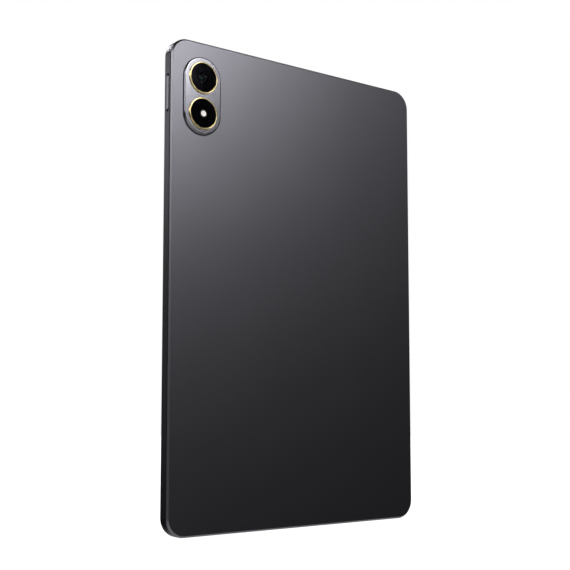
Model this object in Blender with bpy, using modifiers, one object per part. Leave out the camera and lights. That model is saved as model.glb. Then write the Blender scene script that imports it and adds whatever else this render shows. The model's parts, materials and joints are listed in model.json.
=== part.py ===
"""Tablet computer with a raised twin-ring camera island, as an assembly of separate pieces.

Units are metres, +Z is up. The tablet stands upright on its bottom short edge: the back faces -Y,
the screen faces +Y, and the camera island is at the -X, +Z corner of the back. Places through the
thickness are given as a depth, measured from the outer face of the back towards the screen.
"""

import math

import bmesh
import bpy
from mathutils import Matrix, Vector

MM = 0.001

# Overall size
LENGTH = 279.8 * MM
WIDTH = 181.7 * MM
THICKNESS = 7.5 * MM
CORNER_RADIUS = 11.2 * MM

# General fits
GAP = 0.3 * MM            # between pieces that touch
FILM = 0.1 * MM           # adhesive or foam between stacked flat pieces
SIDE_GAP = 1.2 * MM       # between neighbouring modules in the bay

# Rear housing: a milled tray with a ledge for the display
FLOOR = 0.9 * MM
WALL = 2.6 * MM
RIM = 1.0 * MM
LEDGE_WIDTH = WALL - RIM
RIM_BELOW_GLASS = 0.2 * MM
BACK_CHAMFER = 0.7 * MM
BACK_ROUND_INSET = 0.4 * MM
BACK_ROUND_DEPTH = 0.8 * MM
FRONT_CHAMFER = 0.2 * MM

# Display stack, counted back from the outer face of the glass
GLASS_THICKNESS = 0.65 * MM
GLASS_EDGE_ROUND = 0.25 * MM
PANEL_THICKNESS = 0.6 * MM
BACKLIGHT_THICKNESS = 0.8 * MM
DISPLAY_MARGIN = 7.45 * MM     # from the tablet's edge to the panel's edge
BEZEL_LIP = 0.6 * MM
BEZEL_FIT = 0.15 * MM
BEZEL_CARRIER = 0.65 * MM
LEAST_CORNER = 1.0 * MM        # of a slab set far in from the edge

# Plate between the bay and the display
PLATE_THICKNESS = 0.35 * MM
PLATE_SIDE_MARGIN = 7.65 * MM
PLATE_END_MARGIN = 12.0 * MM
PLATE_TO_BACKLIGHT = 0.45 * MM
PLATE_ROUND = 4.0 * MM
PLATE_FLEX_SLOT = 10.0 * MM       # slot that the display flex passes through
PLATE_SLOT_OFFSET = 1.0 * MM      # slot's middle below the flex's bend

# Camera island and its two rings
RING_DIAMETER = 18.6 * MM
RING_WALL = 0.8 * MM
RING_PROUD = 0.8 * MM
RING_SEAT = 0.5 * MM
RING_FLANGE = 1.7 * MM
RING_EDGE = 0.15 * MM
RING_GAP = 2.2 * MM
ISLAND_MARGIN = 2.9 * MM
ISLAND_PROUD = 1.5 * MM
ISLAND_EDGE_ROUND = 0.5 * MM
ISLAND_SIDE_DISTANCE = 7.9 * MM
ISLAND_TOP_DISTANCE = 9.3 * MM
ISLAND_FLANGE = 1.1 * MM
ISLAND_FLANGE_THICKNESS = 0.45 * MM
ISLAND_FIT = 0.12 * MM
COVER_THICKNESS = 0.65 * MM
COVER_FIT = 0.12 * MM
COVER_RECESS = 0.15 * MM
COVER_EDGE = 0.1 * MM

# Rear camera
CAMERA_BODY_SIZE = 9.6 * MM
CAMERA_BODY_TOP = 0.6 * MM     # how far the body reaches into the island
CAMERA_BODY_DEPTH = 4.0 * MM
CAMERA_BORE = 7.0 * MM
BARREL_DIAMETER = 6.4 * MM
BARREL_TRAVEL = 0.3 * MM
SENSOR_THICKNESS = 0.5 * MM
CAMERA_FLEX_WIDTH = 8.0 * MM
CAMERA_FLEX_LANDING = 5.0 * MM    # flat length at each end of the flex
CAMERA_FLEX_BEND = 1.0 * MM       # from the end of the bend to the board's edge
CAMERA_BODY_ROUND = 0.6 * MM

# Flash
LIGHT_GUIDE_DIAMETER = 4.6 * MM
LIGHT_GUIDE_FLANGE = 0.7 * MM
LIGHT_GUIDE_FLANGE_THICKNESS = 0.4 * MM
FLASH_HOLE = 7.0 * MM
LED_SIZE = 3.0 * MM
LED_HEIGHT = 0.9 * MM
FLASH_BOARD_DIAMETER = 12.0 * MM
BOARD_THICKNESS = 0.7 * MM
FLEX_THICKNESS = 0.15 * MM

# Keys
KEY_DEPTH = 3.9 * MM
KEY_WIDTH = 2.1 * MM
KEY_PROUD = 0.3 * MM
KEY_SIDE_FIT = 0.2 * MM
KEY_EDGE = 0.15 * MM
KEY_FLANGE_OVERHANG = 0.6 * MM
KEY_FLANGE_THICKNESS = 0.6 * MM
KEY_FLANGE_BACKLASH = 0.45 * MM
KEY_NUB_DIAMETER = 1.5 * MM
KEY_NUB_HEIGHT = 0.4 * MM
VOLUME_KEY_LENGTH = 19.8 * MM
VOLUME_KEY_END_FIT = 1.1 * MM
VOLUME_KEY_FROM_TOP = 32.3 * MM
VOLUME_SWITCH_SPACING = 13.0 * MM
POWER_KEY_LENGTH = 13.0 * MM
POWER_KEY_END_FIT = 0.3 * MM
POWER_KEY_FROM_SIDE = 21.0 * MM
SWITCH_LENGTH = 2.8 * MM
SWITCH_WIDTH = 2.2 * MM
SWITCH_HEIGHT = 0.8 * MM
SWITCH_CLEARANCE = 0.35 * MM
BRACKET_THICKNESS = 0.4 * MM
BRACKET_WIDTH = 2.8 * MM
BRACKET_OVERHANG = 2.6 * MM

# Card tray
TRAY_FROM_TOP = 54.8 * MM
TRAY_DEPTH = 3.4 * MM
TRAY_FACE_LENGTH = 15.0 * MM
TRAY_FACE_WIDTH = 2.0 * MM
TRAY_FACE_THICKNESS = 1.0 * MM
TRAY_TONGUE_LENGTH = 24.0 * MM
TRAY_TONGUE_WIDTH = 13.2 * MM
TRAY_TONGUE_THICKNESS = 1.1 * MM
TRAY_FIT = 0.2 * MM
CARD_LENGTH = 12.0 * MM
CARD_WIDTH = 8.8 * MM
CARD_ROUND = 0.8 * MM
CARD_END_WALL = 2.0 * MM
READER_WALL = 0.25 * MM
READER_FIT = 0.25 * MM
EJECT_HOLE = 1.0 * MM
EJECT_HOLE_OFFSET = 11.0 * MM

# Port, sound slots and microphones
USB_WIDTH = 8.94 * MM
USB_HEIGHT = 3.2 * MM
USB_LENGTH = 7.3 * MM
USB_WALL = 0.3 * MM
USB_DEPTH = 3.4 * MM
USB_FIT = 0.2 * MM
USB_TONGUE_WIDTH = 6.7 * MM
USB_TONGUE_THICKNESS = 0.7 * MM
USB_TONGUE_INSET = 0.8 * MM
USB_BOARD_WIDTH = 30.0 * MM
USB_BOARD_LENGTH = 26.6 * MM
USB_BOARD_THICKNESS = 0.6 * MM
USB_BOARD_ROUND = 1.0 * MM
SOUND_SLOT_LENGTH = 3.0 * MM
SOUND_SLOT_WIDTH = 1.1 * MM
SOUND_SLOT_PITCH = 4.2 * MM
SOUND_SLOT_COUNT = 6
SOUND_SLOT_DEPTH = 3.4 * MM
DUST_MESH_THICKNESS = 0.2 * MM
DUST_MESH_OVERLAP = 1.0 * MM
DUST_MESH_WIDTH = 2.4 * MM
MICROPHONE_HOLE = 0.9 * MM
MICROPHONE_SIZE = (3.5 * MM, 2.4 * MM, 1.1 * MM)
SIDE_MICROPHONE_ABOVE_CAMERA = 21.7 * MM
BOTTOM_MICROPHONE_FROM_CENTRE = 10.5 * MM

# Modules in the bay
SPEAKER_LENGTH = 39.0 * MM
SPEAKER_HEIGHT = 20.0 * MM
SPEAKER_THICKNESS = 3.0 * MM
SPEAKER_ROUND = 2.0 * MM
MAIN_BOARD_HEIGHT = 46.0 * MM
MAIN_BOARD_RAISE = 0.4 * MM
MAIN_BOARD_ROUND = 1.5 * MM
PROCESSOR_SIZE = 15.0 * MM
PROCESSOR_THICKNESS = 0.9 * MM
PROCESSOR_SHIELD_WIDTH = 36.0 * MM
PROCESSOR_SHIELD_HEIGHT = 34.0 * MM
POWER_SHIELD_WIDTH = 20.0 * MM
POWER_SHIELD_HEIGHT = 30.0 * MM
SHIELD_DEPTH = 1.6 * MM
SHIELD_WALL = 0.2 * MM
SHIELD_ROUND = 0.8 * MM
PROCESSOR_SHIELD_FROM_EDGE = 9.0 * MM
SHIELD_FROM_BOTTOM = 4.0 * MM
SPREADER_THICKNESS = 0.2 * MM
SPREADER_MARGIN = 2.0 * MM
SPREADER_ROUND = 2.0 * MM
BATTERY_SIDE_STRIP = 11.75 * MM    # between a cell and the housing's inner wall
BATTERY_CENTRE_GAP = 13.0 * MM
BATTERY_ROUND = 2.5 * MM
BATTERY_BOARD_HEIGHT = 4.0 * MM
BATTERY_BOARD_INSET = 10.0 * MM
BOTTOM_STRIP = 16.0 * MM           # between the bottom speakers and the cells
LINK_FLEX_WIDTH = 9.0 * MM
LINK_FLEX_OVERLAP = 6.0 * MM       # flat length on the USB board
DISPLAY_FLEX_WIDTH = 22.0 * MM
DISPLAY_FLEX_SHARE = 0.18         # share of the free room that is left on the shield's side
DISPLAY_FLEX_FROM_TOP = 15.0 * MM
DISPLAY_FLEX_ABOVE = 20.0 * MM    # flat length behind the display
DISPLAY_FLEX_LANDING = 6.0 * MM   # flat length on the board
DISPLAY_FLEX_BEND = 3.0 * MM
DISPLAY_FLEX_TURN = 1.0 * MM
DISPLAY_FLEX_FALL = 0.6 * MM
FRONT_CAMERA_INSET = 5.0 * MM
FRONT_CAMERA_SIZE = 4.2 * MM
FRONT_CAMERA_HEIGHT = 3.3 * MM
FRONT_CAMERA_ROUND = 0.5 * MM
LIGHT_SENSOR_SPACING = 9.0 * MM
LIGHT_SENSOR_SIZE = 2.4 * MM
LIGHT_SENSOR_HEIGHT = 1.4 * MM
ANTENNA_HEIGHT = 18.0 * MM
ANTENNA_THICKNESS = 2.6 * MM

# Screws that hold the plate
SCREW_SHANK = 1.3 * MM
SCREW_HEAD = 3.2 * MM
SCREW_HEAD_HEIGHT = 0.25 * MM
SCREW_LENGTH = 2.2 * MM
SCREW_CLEARANCE = 0.2 * MM
BOSS_DIAMETER = 4.2 * MM
BOSS_FROM_WALL = 8.0 * MM
SCREWS_PER_SIDE = 3
SCREW_END_MARGIN = 14.0 * MM

# Mesh fineness
CORNER_STEPS = 8
ISLAND_STEPS = 14
SMALL_STEPS = 5
ROUND_STEPS = 40
FINE_STEPS = 24
TINY_STEPS = 12
MERGE = 0.03 * MM         # closes the sliver where two rounds meet
TURN_MERGE = 0.01 * MM    # joins the seam of a turned piece
ROUND_END = 0.01 * MM     # what a half-round end keeps short of its full radius

# Places worked out from the sizes above
CAMERA_PROUD = ISLAND_PROUD + RING_PROUD
BACK_Y = (CAMERA_PROUD - THICKNESS) / 2
HALF_WIDTH = WIDTH / 2
MIDDLE_Z = LENGTH / 2
BAY_HALF_WIDTH = HALF_WIDTH - WALL
BAY_BOTTOM = WALL
BAY_TOP = LENGTH - WALL
RIM_FRONT = THICKNESS - RIM_BELOW_GLASS

GLASS_BACK = THICKNESS - GLASS_THICKNESS
PANEL_FRONT = GLASS_BACK - FILM
PANEL_BACK = PANEL_FRONT - PANEL_THICKNESS
BACKLIGHT_FRONT = PANEL_BACK - FILM
BACKLIGHT_BACK = BACKLIGHT_FRONT - BACKLIGHT_THICKNESS
PLATE_FRONT = BACKLIGHT_BACK - PLATE_TO_BACKLIGHT
PLATE_BACK = PLATE_FRONT - PLATE_THICKNESS
CARRIER_BACK = PANEL_FRONT - BEZEL_CARRIER
LEDGE_FRONT = CARRIER_BACK - FILM
COMPONENT_TOP = PLATE_BACK - 2.5 * FILM

ISLAND_WIDTH = RING_DIAMETER + 2 * ISLAND_MARGIN
ISLAND_FOOT = FLOOR + FILM + ISLAND_FLANGE_THICKNESS
RING_SPACING = RING_DIAMETER + RING_GAP
CAMERA_X = -HALF_WIDTH + ISLAND_SIDE_DISTANCE + ISLAND_WIDTH / 2
CAMERA_Z = LENGTH - ISLAND_TOP_DISTANCE - ISLAND_WIDTH / 2
FLASH_Z = CAMERA_Z - RING_SPACING
ISLAND_Z = (CAMERA_Z + FLASH_Z) / 2
ISLAND_INNER_EDGE = CAMERA_X + ISLAND_WIDTH / 2 + ISLAND_FLANGE
RING_TOP = -CAMERA_PROUD
COVER_TOP = RING_TOP + COVER_RECESS
RING_FOOT = -ISLAND_PROUD + RING_SEAT - FILM
RING_FLANGE_TOP = COVER_TOP + COVER_THICKNESS + FILM
COVER_DIAMETER = RING_DIAMETER - 2 * (RING_WALL + COVER_FIT)
RING_OPENING = RING_DIAMETER - 2 * (RING_WALL + RING_FLANGE)

MAIN_BOARD_BACK = FLOOR + MAIN_BOARD_RAISE
MAIN_BOARD_FRONT = MAIN_BOARD_BACK + BOARD_THICKNESS
SPEAKER_TO_WALL = 2 * GAP + DUST_MESH_THICKNESS
TOP_SPEAKER_OUTER = -ISLAND_INNER_EDGE - SIDE_GAP
TOP_SPEAKER_X = TOP_SPEAKER_OUTER - SPEAKER_LENGTH / 2
TOP_SPEAKER_BOTTOM = BAY_TOP - SPEAKER_TO_WALL - SPEAKER_HEIGHT
BOTTOM_SPEAKER_X = USB_BOARD_WIDTH / 2 + SIDE_GAP + SPEAKER_LENGTH / 2
BOTTOM_SPEAKER_TOP = BAY_BOTTOM + SPEAKER_TO_WALL + SPEAKER_HEIGHT
MAIN_BOARD_TOP = TOP_SPEAKER_BOTTOM - SIDE_GAP
MAIN_BOARD_BOTTOM = MAIN_BOARD_TOP - MAIN_BOARD_HEIGHT
MAIN_BOARD_LEFT = ISLAND_INNER_EDGE + SIDE_GAP
MAIN_BOARD_RIGHT = BAY_HALF_WIDTH - 2 * SIDE_GAP
POWER_SHIELD_LEFT = LINK_FLEX_WIDTH / 2 + SIDE_GAP
ANTENNA_ROUND = min(CORNER_RADIUS - WALL - SIDE_GAP, ANTENNA_HEIGHT / 2 - ROUND_END)
BATTERY_BOARD_TOP = MAIN_BOARD_BOTTOM - SIDE_GAP
BATTERY_TOP = BATTERY_BOARD_TOP - BATTERY_BOARD_HEIGHT - SIDE_GAP
BATTERY_BOTTOM = BOTTOM_SPEAKER_TOP + BOTTOM_STRIP
BATTERY_OUTER = BAY_HALF_WIDTH - BATTERY_SIDE_STRIP
BATTERY_INNER = BATTERY_CENTRE_GAP / 2

VOLUME_KEY_Z = LENGTH - VOLUME_KEY_FROM_TOP
POWER_KEY_X = -HALF_WIDTH + POWER_KEY_FROM_SIDE
TRAY_Z = LENGTH - TRAY_FROM_TOP
FRONT_CAMERA_X = -HALF_WIDTH + FRONT_CAMERA_INSET
SIDE_MICROPHONE_Z = MIDDLE_Z + SIDE_MICROPHONE_ABOVE_CAMERA
BOSS_X = BAY_HALF_WIDTH - BOSS_FROM_WALL

# Colour, metallic and roughness of each finish
FINISHES = {
    "anodised_aluminium": ((0.16, 0.16, 0.17), 1.0, 0.42),
    "satin_aluminium": ((0.20, 0.20, 0.21), 1.0, 0.32),
    "gold_ring": ((0.78, 0.62, 0.28), 1.0, 0.22),
    "black_glass": ((0.008, 0.008, 0.010), 0.0, 0.05),
    "screen_glass": ((0.010, 0.010, 0.012), 0.0, 0.04),
    "black_plastic": ((0.015, 0.015, 0.016), 0.0, 0.45),
    "white_diffuser": ((0.85, 0.85, 0.82), 0.0, 0.50),
    "yellow_phosphor": ((0.85, 0.70, 0.20), 0.0, 0.55),
    "steel": ((0.55, 0.56, 0.57), 1.0, 0.35),
    "copper": ((0.72, 0.38, 0.24), 1.0, 0.35),
    "board_green": ((0.02, 0.12, 0.07), 0.0, 0.40),
    "flex_amber": ((0.45, 0.22, 0.05), 0.0, 0.40),
    "battery_pouch": ((0.10, 0.10, 0.11), 0.3, 0.50),
    "panel_grey": ((0.05, 0.05, 0.06), 0.1, 0.30),
    "reflector_white": ((0.75, 0.76, 0.78), 0.2, 0.35),
    "chip_black": ((0.02, 0.02, 0.02), 0.0, 0.50),
    "mesh_black": ((0.03, 0.03, 0.03), 0.6, 0.60),
}


def y_at(depth):
    """World Y of a depth counted from the outer face of the back."""
    return BACK_Y + depth


def clear_scene():
    for old in list(bpy.data.objects):
        bpy.data.objects.remove(old, do_unlink=True)


def make_collection(name):
    collection = bpy.data.collections.new(name)
    bpy.context.scene.collection.children.link(collection)
    return collection


def make_finishes():
    made = {}
    for name, (colour, metallic, roughness) in FINISHES.items():
        material = bpy.data.materials.new(name)
        material.use_nodes = True
        shader = material.node_tree.nodes["Principled BSDF"]
        shader.inputs["Base Color"].default_value = (*colour, 1.0)
        shader.inputs["Metallic"].default_value = metallic
        shader.inputs["Roughness"].default_value = roughness
        material.diffuse_color = (*colour, 1.0)
        made[name] = material
    return made


class Workshop:
    """Keeps the collections and finishes, and makes objects in them."""

    def __init__(self):
        clear_scene()
        self.parts = make_collection("tablet_computer")
        self.cutters = make_collection("tablet_cutters")
        self.finishes = make_finishes()

    def add(self, name, bm, finish=None, location=(0, 0, 0), smooth_angle=35):
        """Object made from a bmesh; one with no finish is a cutter."""
        bmesh.ops.recalc_face_normals(bm, faces=bm.faces)
        mesh = bpy.data.meshes.new(name)
        bm.to_mesh(mesh)
        bm.free()
        mesh.shade_smooth()
        mesh.set_sharp_from_angle(angle=math.radians(smooth_angle))
        made = bpy.data.objects.new(name, mesh)
        made.location = location
        if finish:
            mesh.materials.append(self.finishes[finish])
            self.parts.objects.link(made)
        else:
            made.hide_render = True
            made.display_type = "WIRE"
            self.cutters.objects.link(made)
        return made


def cube(size_x, size_y, size_z, centre=(0, 0, 0)):
    """A bmesh box about a centre."""
    bm = bmesh.new()
    matrix = Matrix.Translation(centre) @ Matrix.Diagonal((size_x, size_y, size_z, 1))
    bmesh.ops.create_cube(bm, size=1, matrix=matrix)
    return bm


def along(edge, axis):
    direction = edge.verts[1].co - edge.verts[0].co
    return abs(direction.normalized()[axis]) > 0.999


def round_edges(bm, axis, radius, steps):
    """Rounds the edges of a box that run along one axis."""
    edges = [edge for edge in bm.edges if along(edge, axis)]
    bmesh.ops.bevel(bm, geom=edges, offset=radius, offset_type="OFFSET", segments=steps,
                    profile=0.5, affect="EDGES", clamp_overlap=False)
    bmesh.ops.remove_doubles(bm, verts=bm.verts, dist=MERGE)
    return bm


def rounded_box(size_x, size_y, size_z, axis, radius, steps=SMALL_STEPS, centre=(0, 0, 0)):
    return round_edges(cube(size_x, size_y, size_z, centre), axis, radius, steps)


def cylinder(radius, height, steps, axis="Y", centre=(0, 0, 0)):
    """A bmesh cylinder along one axis, about a centre."""
    turns = {"X": Matrix.Rotation(math.pi / 2, 4, "Y"), "Y": Matrix.Rotation(math.pi / 2, 4, "X"),
             "Z": Matrix.Identity(4)}
    bm = bmesh.new()
    bmesh.ops.create_cone(bm, cap_ends=True, segments=steps, radius1=radius, radius2=radius,
                          depth=height, matrix=Matrix.Translation(centre) @ turns[axis])
    return bm


def join(*meshes):
    """Several bmeshes as one; their bodies stay separate."""
    whole = bmesh.new()
    for bm in meshes:
        piece = bpy.data.meshes.new("joined")
        bm.to_mesh(piece)
        bm.free()
        whole.from_mesh(piece)
        bpy.data.meshes.remove(piece)
    return whole


def boolean(target, tool, operation="DIFFERENCE"):
    modifier = target.modifiers.new(operation.lower(), "BOOLEAN")
    modifier.operation = operation
    modifier.solver = "EXACT"
    modifier.object = tool
    return modifier


def block(shop, name, finish, x, z, depth, radius=0.0):
    """A plain module given by its limits in X, Z and depth, with its upright edges rounded."""
    size = (x[1] - x[0], depth[1] - depth[0], z[1] - z[0])
    place = ((x[0] + x[1]) / 2, y_at((depth[0] + depth[1]) / 2), (z[0] + z[1]) / 2)
    bm = rounded_box(*size, 1, radius) if radius else cube(*size)
    return shop.add(name, bm, finish, place)


def ribbon(shop, name, finish, path, width_vector, thickness):
    """A flat flex or bent strip: a path of points swept along a straight width, then thickened."""
    bm = bmesh.new()
    shift = Vector(width_vector)
    start = Vector(path[0])
    low = [bm.verts.new(Vector(point) - start - shift / 2) for point in path]
    high = [bm.verts.new(Vector(point) - start + shift / 2) for point in path]
    for index in range(len(path) - 1):
        bm.faces.new((low[index], low[index + 1], high[index + 1], high[index]))
    made = shop.add(name, bm, finish, start)
    solid = made.modifiers.new("thickness", "SOLIDIFY")
    solid.thickness = thickness
    solid.offset = 0
    solid.use_even_offset = True
    return made


def turned(shop, name, finish, profile, centre, steps=ROUND_STEPS):
    """A piece turned about an axis along Y. The profile's points are radius and depth, the outer
    side running from the screen side to the back."""
    bm = bmesh.new()
    middle = y_at(0)
    verts = [bm.verts.new((radius, 0, depth)) for radius, depth in profile]
    for first, second in zip(verts, verts[1:] + verts[:1]):
        if first.co.x > 0 or second.co.x > 0:
            bm.edges.new((first, second))
    mesh = bpy.data.meshes.new(name)
    bm.to_mesh(mesh)
    bm.free()
    mesh.materials.append(shop.finishes[finish])
    made = bpy.data.objects.new(name, mesh)
    made.location = (centre[0], middle, centre[1])
    made.rotation_euler = (-math.pi / 2, 0, 0)
    shop.parts.objects.link(made)
    screw = made.modifiers.new("turn", "SCREW")
    screw.steps = steps
    screw.render_steps = steps
    screw.use_merge_vertices = True
    screw.merge_threshold = TURN_MERGE
    screw.use_smooth_shade = True
    return made


def step_in(bm, face, inset, rise):
    """Carries a face on: its outline drawn in by an even inset, and moved along its normal."""
    if inset:
        bmesh.ops.inset_region(bm, faces=[face], thickness=inset, depth=0, use_even_offset=True)
        bmesh.ops.translate(bm, verts=face.verts, vec=face.normal * rise)
        return face
    outward = face.normal.copy()
    made = bmesh.ops.extrude_face_region(bm, geom=[face])
    lifted = [item for item in made["geom"] if isinstance(item, bmesh.types.BMVert)]
    bmesh.ops.translate(bm, verts=lifted, vec=outward * rise)
    new_face = next(item for item in made["geom"] if isinstance(item, bmesh.types.BMFace))
    if face.is_valid:
        bmesh.ops.delete(bm, geom=[face], context="FACES_ONLY")
    return new_face


def end_face(bm, sign):
    """The flat face that looks along +Y or -Y, furthest out."""
    facing = [face for face in bm.faces if face.normal.y * sign > 0.999]
    return max(facing, key=lambda face: face.calc_center_median().y * sign)


# ---------------------------------------------------------------- rear housing

def housing_shell():
    """The milled tray: a back edge broken twice outside, two steps inside."""
    wall_start = BACK_CHAMFER + BACK_ROUND_DEPTH
    wall_end = RIM_FRONT - FRONT_CHAMFER
    middle = (wall_start + wall_end) / 2
    bm = rounded_box(WIDTH, wall_end - wall_start, LENGTH, 1, CORNER_RADIUS, CORNER_STEPS,
                     (0, y_at(middle), MIDDLE_Z))
    bm.normal_update()
    back = end_face(bm, -1)
    back = step_in(bm, back, BACK_ROUND_INSET, BACK_ROUND_DEPTH)
    bm.normal_update()
    step_in(bm, back, BACK_CHAMFER, BACK_CHAMFER)
    bm.normal_update()
    front = end_face(bm, 1)
    front = step_in(bm, front, FRONT_CHAMFER, FRONT_CHAMFER)
    bm.normal_update()
    front = step_in(bm, front, RIM - FRONT_CHAMFER, 0)
    front = step_in(bm, front, 0, LEDGE_FRONT - RIM_FRONT)
    bm.normal_update()
    front = step_in(bm, front, LEDGE_WIDTH, 0)
    step_in(bm, front, 0, FLOOR - LEDGE_FRONT)
    return bm


def screw_places():
    """X and Z of the screws that hold the plate, in a row beside each cell."""
    low = BATTERY_BOTTOM + SCREW_END_MARGIN
    high = BATTERY_TOP - SCREW_END_MARGIN
    pitch = (high - low) / (SCREWS_PER_SIDE - 1)
    return [(side * BOSS_X, low + row * pitch) for side in (-1, 1) for row in range(SCREWS_PER_SIDE)]


def sound_rows():
    """Centre X and the side of the tablet of each row of sound slots."""
    top = [(side * TOP_SPEAKER_X, LENGTH - WALL / 2) for side in (-1, 1)]
    bottom = [(side * BOTTOM_SPEAKER_X, WALL / 2) for side in (-1, 1)]
    return top + bottom


def through_wall(length, width, steps, axis, centre, cut):
    """A cutter with round ends that passes through a wall; length is along the edge."""
    sizes = {0: (cut, width, length), 2: (length, width, cut)}[axis]
    return rounded_box(*sizes, axis, width / 2 - ROUND_END, steps, centre)


def build_housing(shop):
    housing = shop.add("rear_housing", housing_shell(), "anodised_aluminium")

    boss_height = COMPONENT_TOP - FLOOR / 2
    boss_middle = y_at(FLOOR / 2 + boss_height / 2)
    bosses = [cylinder(BOSS_DIAMETER / 2, boss_height, TINY_STEPS, "Y", (x, boss_middle, z))
              for x, z in screw_places()]
    boolean(housing, shop.add("bosses", join(*bosses)), "UNION")

    hole_radius = SCREW_SHANK / 2 + SCREW_CLEARANCE
    hole_length = SCREW_LENGTH + GAP
    hole_middle = y_at(COMPONENT_TOP + GAP - hole_length / 2)
    holes = [cylinder(hole_radius, hole_length, TINY_STEPS, "Y", (x, hole_middle, z))
             for x, z in screw_places()]
    boolean(housing, shop.add("boss_holes", join(*holes)))

    cut = 3 * FLOOR
    opening_width = ISLAND_WIDTH + 2 * ISLAND_FIT
    opening = rounded_box(opening_width, cut, opening_width + RING_SPACING, 1,
                          opening_width / 2 - ROUND_END, ISLAND_STEPS,
                          (CAMERA_X, y_at(FLOOR / 2), ISLAND_Z))
    boolean(housing, shop.add("island_opening", opening))

    wall_cut = WALL * 1.6
    side_x = HALF_WIDTH - WALL / 2
    volume_slot = through_wall(VOLUME_KEY_LENGTH + 2 * VOLUME_KEY_END_FIT, KEY_WIDTH + 2 * KEY_SIDE_FIT,
                               SMALL_STEPS, 0, (-side_x, y_at(KEY_DEPTH), VOLUME_KEY_Z), wall_cut)
    boolean(housing, shop.add("volume_key_slot", volume_slot))
    power_slot = through_wall(POWER_KEY_LENGTH + 2 * POWER_KEY_END_FIT, KEY_WIDTH + 2 * KEY_SIDE_FIT,
                              SMALL_STEPS, 2, (POWER_KEY_X, y_at(KEY_DEPTH), LENGTH - WALL / 2), wall_cut)
    boolean(housing, shop.add("power_key_slot", power_slot))

    face_cut = 2 * (TRAY_FACE_THICKNESS + TRAY_FIT)
    tray_recess = through_wall(TRAY_FACE_LENGTH + 2 * TRAY_FIT, TRAY_FACE_WIDTH + 2 * TRAY_FIT,
                               SMALL_STEPS, 0, (HALF_WIDTH, y_at(TRAY_DEPTH), TRAY_Z), face_cut)
    boolean(housing, shop.add("tray_recess", tray_recess))
    tray_slot = cube(wall_cut, TRAY_TONGUE_THICKNESS + 2 * TRAY_FIT, TRAY_TONGUE_WIDTH + 2 * TRAY_FIT,
                     (side_x, y_at(TRAY_DEPTH), TRAY_Z))
    boolean(housing, shop.add("tray_slot", tray_slot))

    port = through_wall(USB_WIDTH + 2 * USB_FIT, USB_HEIGHT + 2 * USB_FIT, SMALL_STEPS, 2,
                        (0, y_at(USB_DEPTH), WALL / 2), wall_cut)
    boolean(housing, shop.add("port_opening", port))

    slots = []
    for centre_x, wall_z in sound_rows():
        for index in range(SOUND_SLOT_COUNT):
            offset = (index - (SOUND_SLOT_COUNT - 1) / 2) * SOUND_SLOT_PITCH
            place = (centre_x + offset, y_at(SOUND_SLOT_DEPTH), wall_z)
            slots.append(through_wall(SOUND_SLOT_LENGTH, SOUND_SLOT_WIDTH, 3, 2, place, wall_cut))
    boolean(housing, shop.add("sound_slots", join(*slots)))

    small_radius = MICROPHONE_HOLE / 2
    small_holes = [
        cylinder(small_radius, wall_cut, TINY_STEPS, "X", (-side_x, y_at(KEY_DEPTH), SIDE_MICROPHONE_Z)),
        cylinder(small_radius, wall_cut, TINY_STEPS, "Z",
                 (BOTTOM_MICROPHONE_FROM_CENTRE, y_at(USB_DEPTH), WALL / 2)),
        cylinder(EJECT_HOLE / 2, wall_cut, TINY_STEPS, "X",
                 (side_x, y_at(TRAY_DEPTH), TRAY_Z - EJECT_HOLE_OFFSET)),
    ]
    boolean(housing, shop.add("small_holes", join(*small_holes)))


# ---------------------------------------------------------------- camera island

def build_island(shop):
    """The raised plinth: a stadium that passes through the back, with a flange inside."""
    raised = ISLAND_FOOT + ISLAND_PROUD
    body = rounded_box(ISLAND_WIDTH, raised, ISLAND_WIDTH + RING_SPACING, 1,
                       ISLAND_WIDTH / 2 - ROUND_END, ISLAND_STEPS)
    body.normal_update()
    top = end_face(body, -1)
    rim = list(top.edges)
    bmesh.ops.bevel(body, geom=rim, offset=ISLAND_EDGE_ROUND, offset_type="OFFSET", segments=2,
                    profile=0.5, affect="EDGES")
    middle = (ISLAND_FOOT - ISLAND_PROUD) / 2
    place = (CAMERA_X, y_at(middle), ISLAND_Z)
    island = shop.add("camera_island", body, "satin_aluminium", place)

    flange_size = ISLAND_WIDTH + 2 * ISLAND_FLANGE
    flange = rounded_box(flange_size, ISLAND_FLANGE_THICKNESS, flange_size + RING_SPACING, 1,
                         flange_size / 2 - ROUND_END, ISLAND_STEPS)
    flange_depth = ISLAND_FOOT - ISLAND_FLANGE_THICKNESS / 2
    boolean(island, shop.add("island_flange", flange, None, (CAMERA_X, y_at(flange_depth), ISLAND_Z)),
            "UNION")

    seat_height = 2 * RING_SEAT
    for name, z, hole in (("camera", CAMERA_Z, RING_OPENING), ("flash", FLASH_Z, FLASH_HOLE)):
        seat = cylinder(RING_DIAMETER / 2 + COVER_FIT, seat_height, ROUND_STEPS)
        boolean(island, shop.add(name + "_seat", seat, None, (CAMERA_X, y_at(-ISLAND_PROUD), z)))
        bore = cylinder(hole / 2, 2 * raised, FINE_STEPS)
        boolean(island, shop.add(name + "_bore", bore, None, (CAMERA_X, y_at(0), z)))


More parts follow.
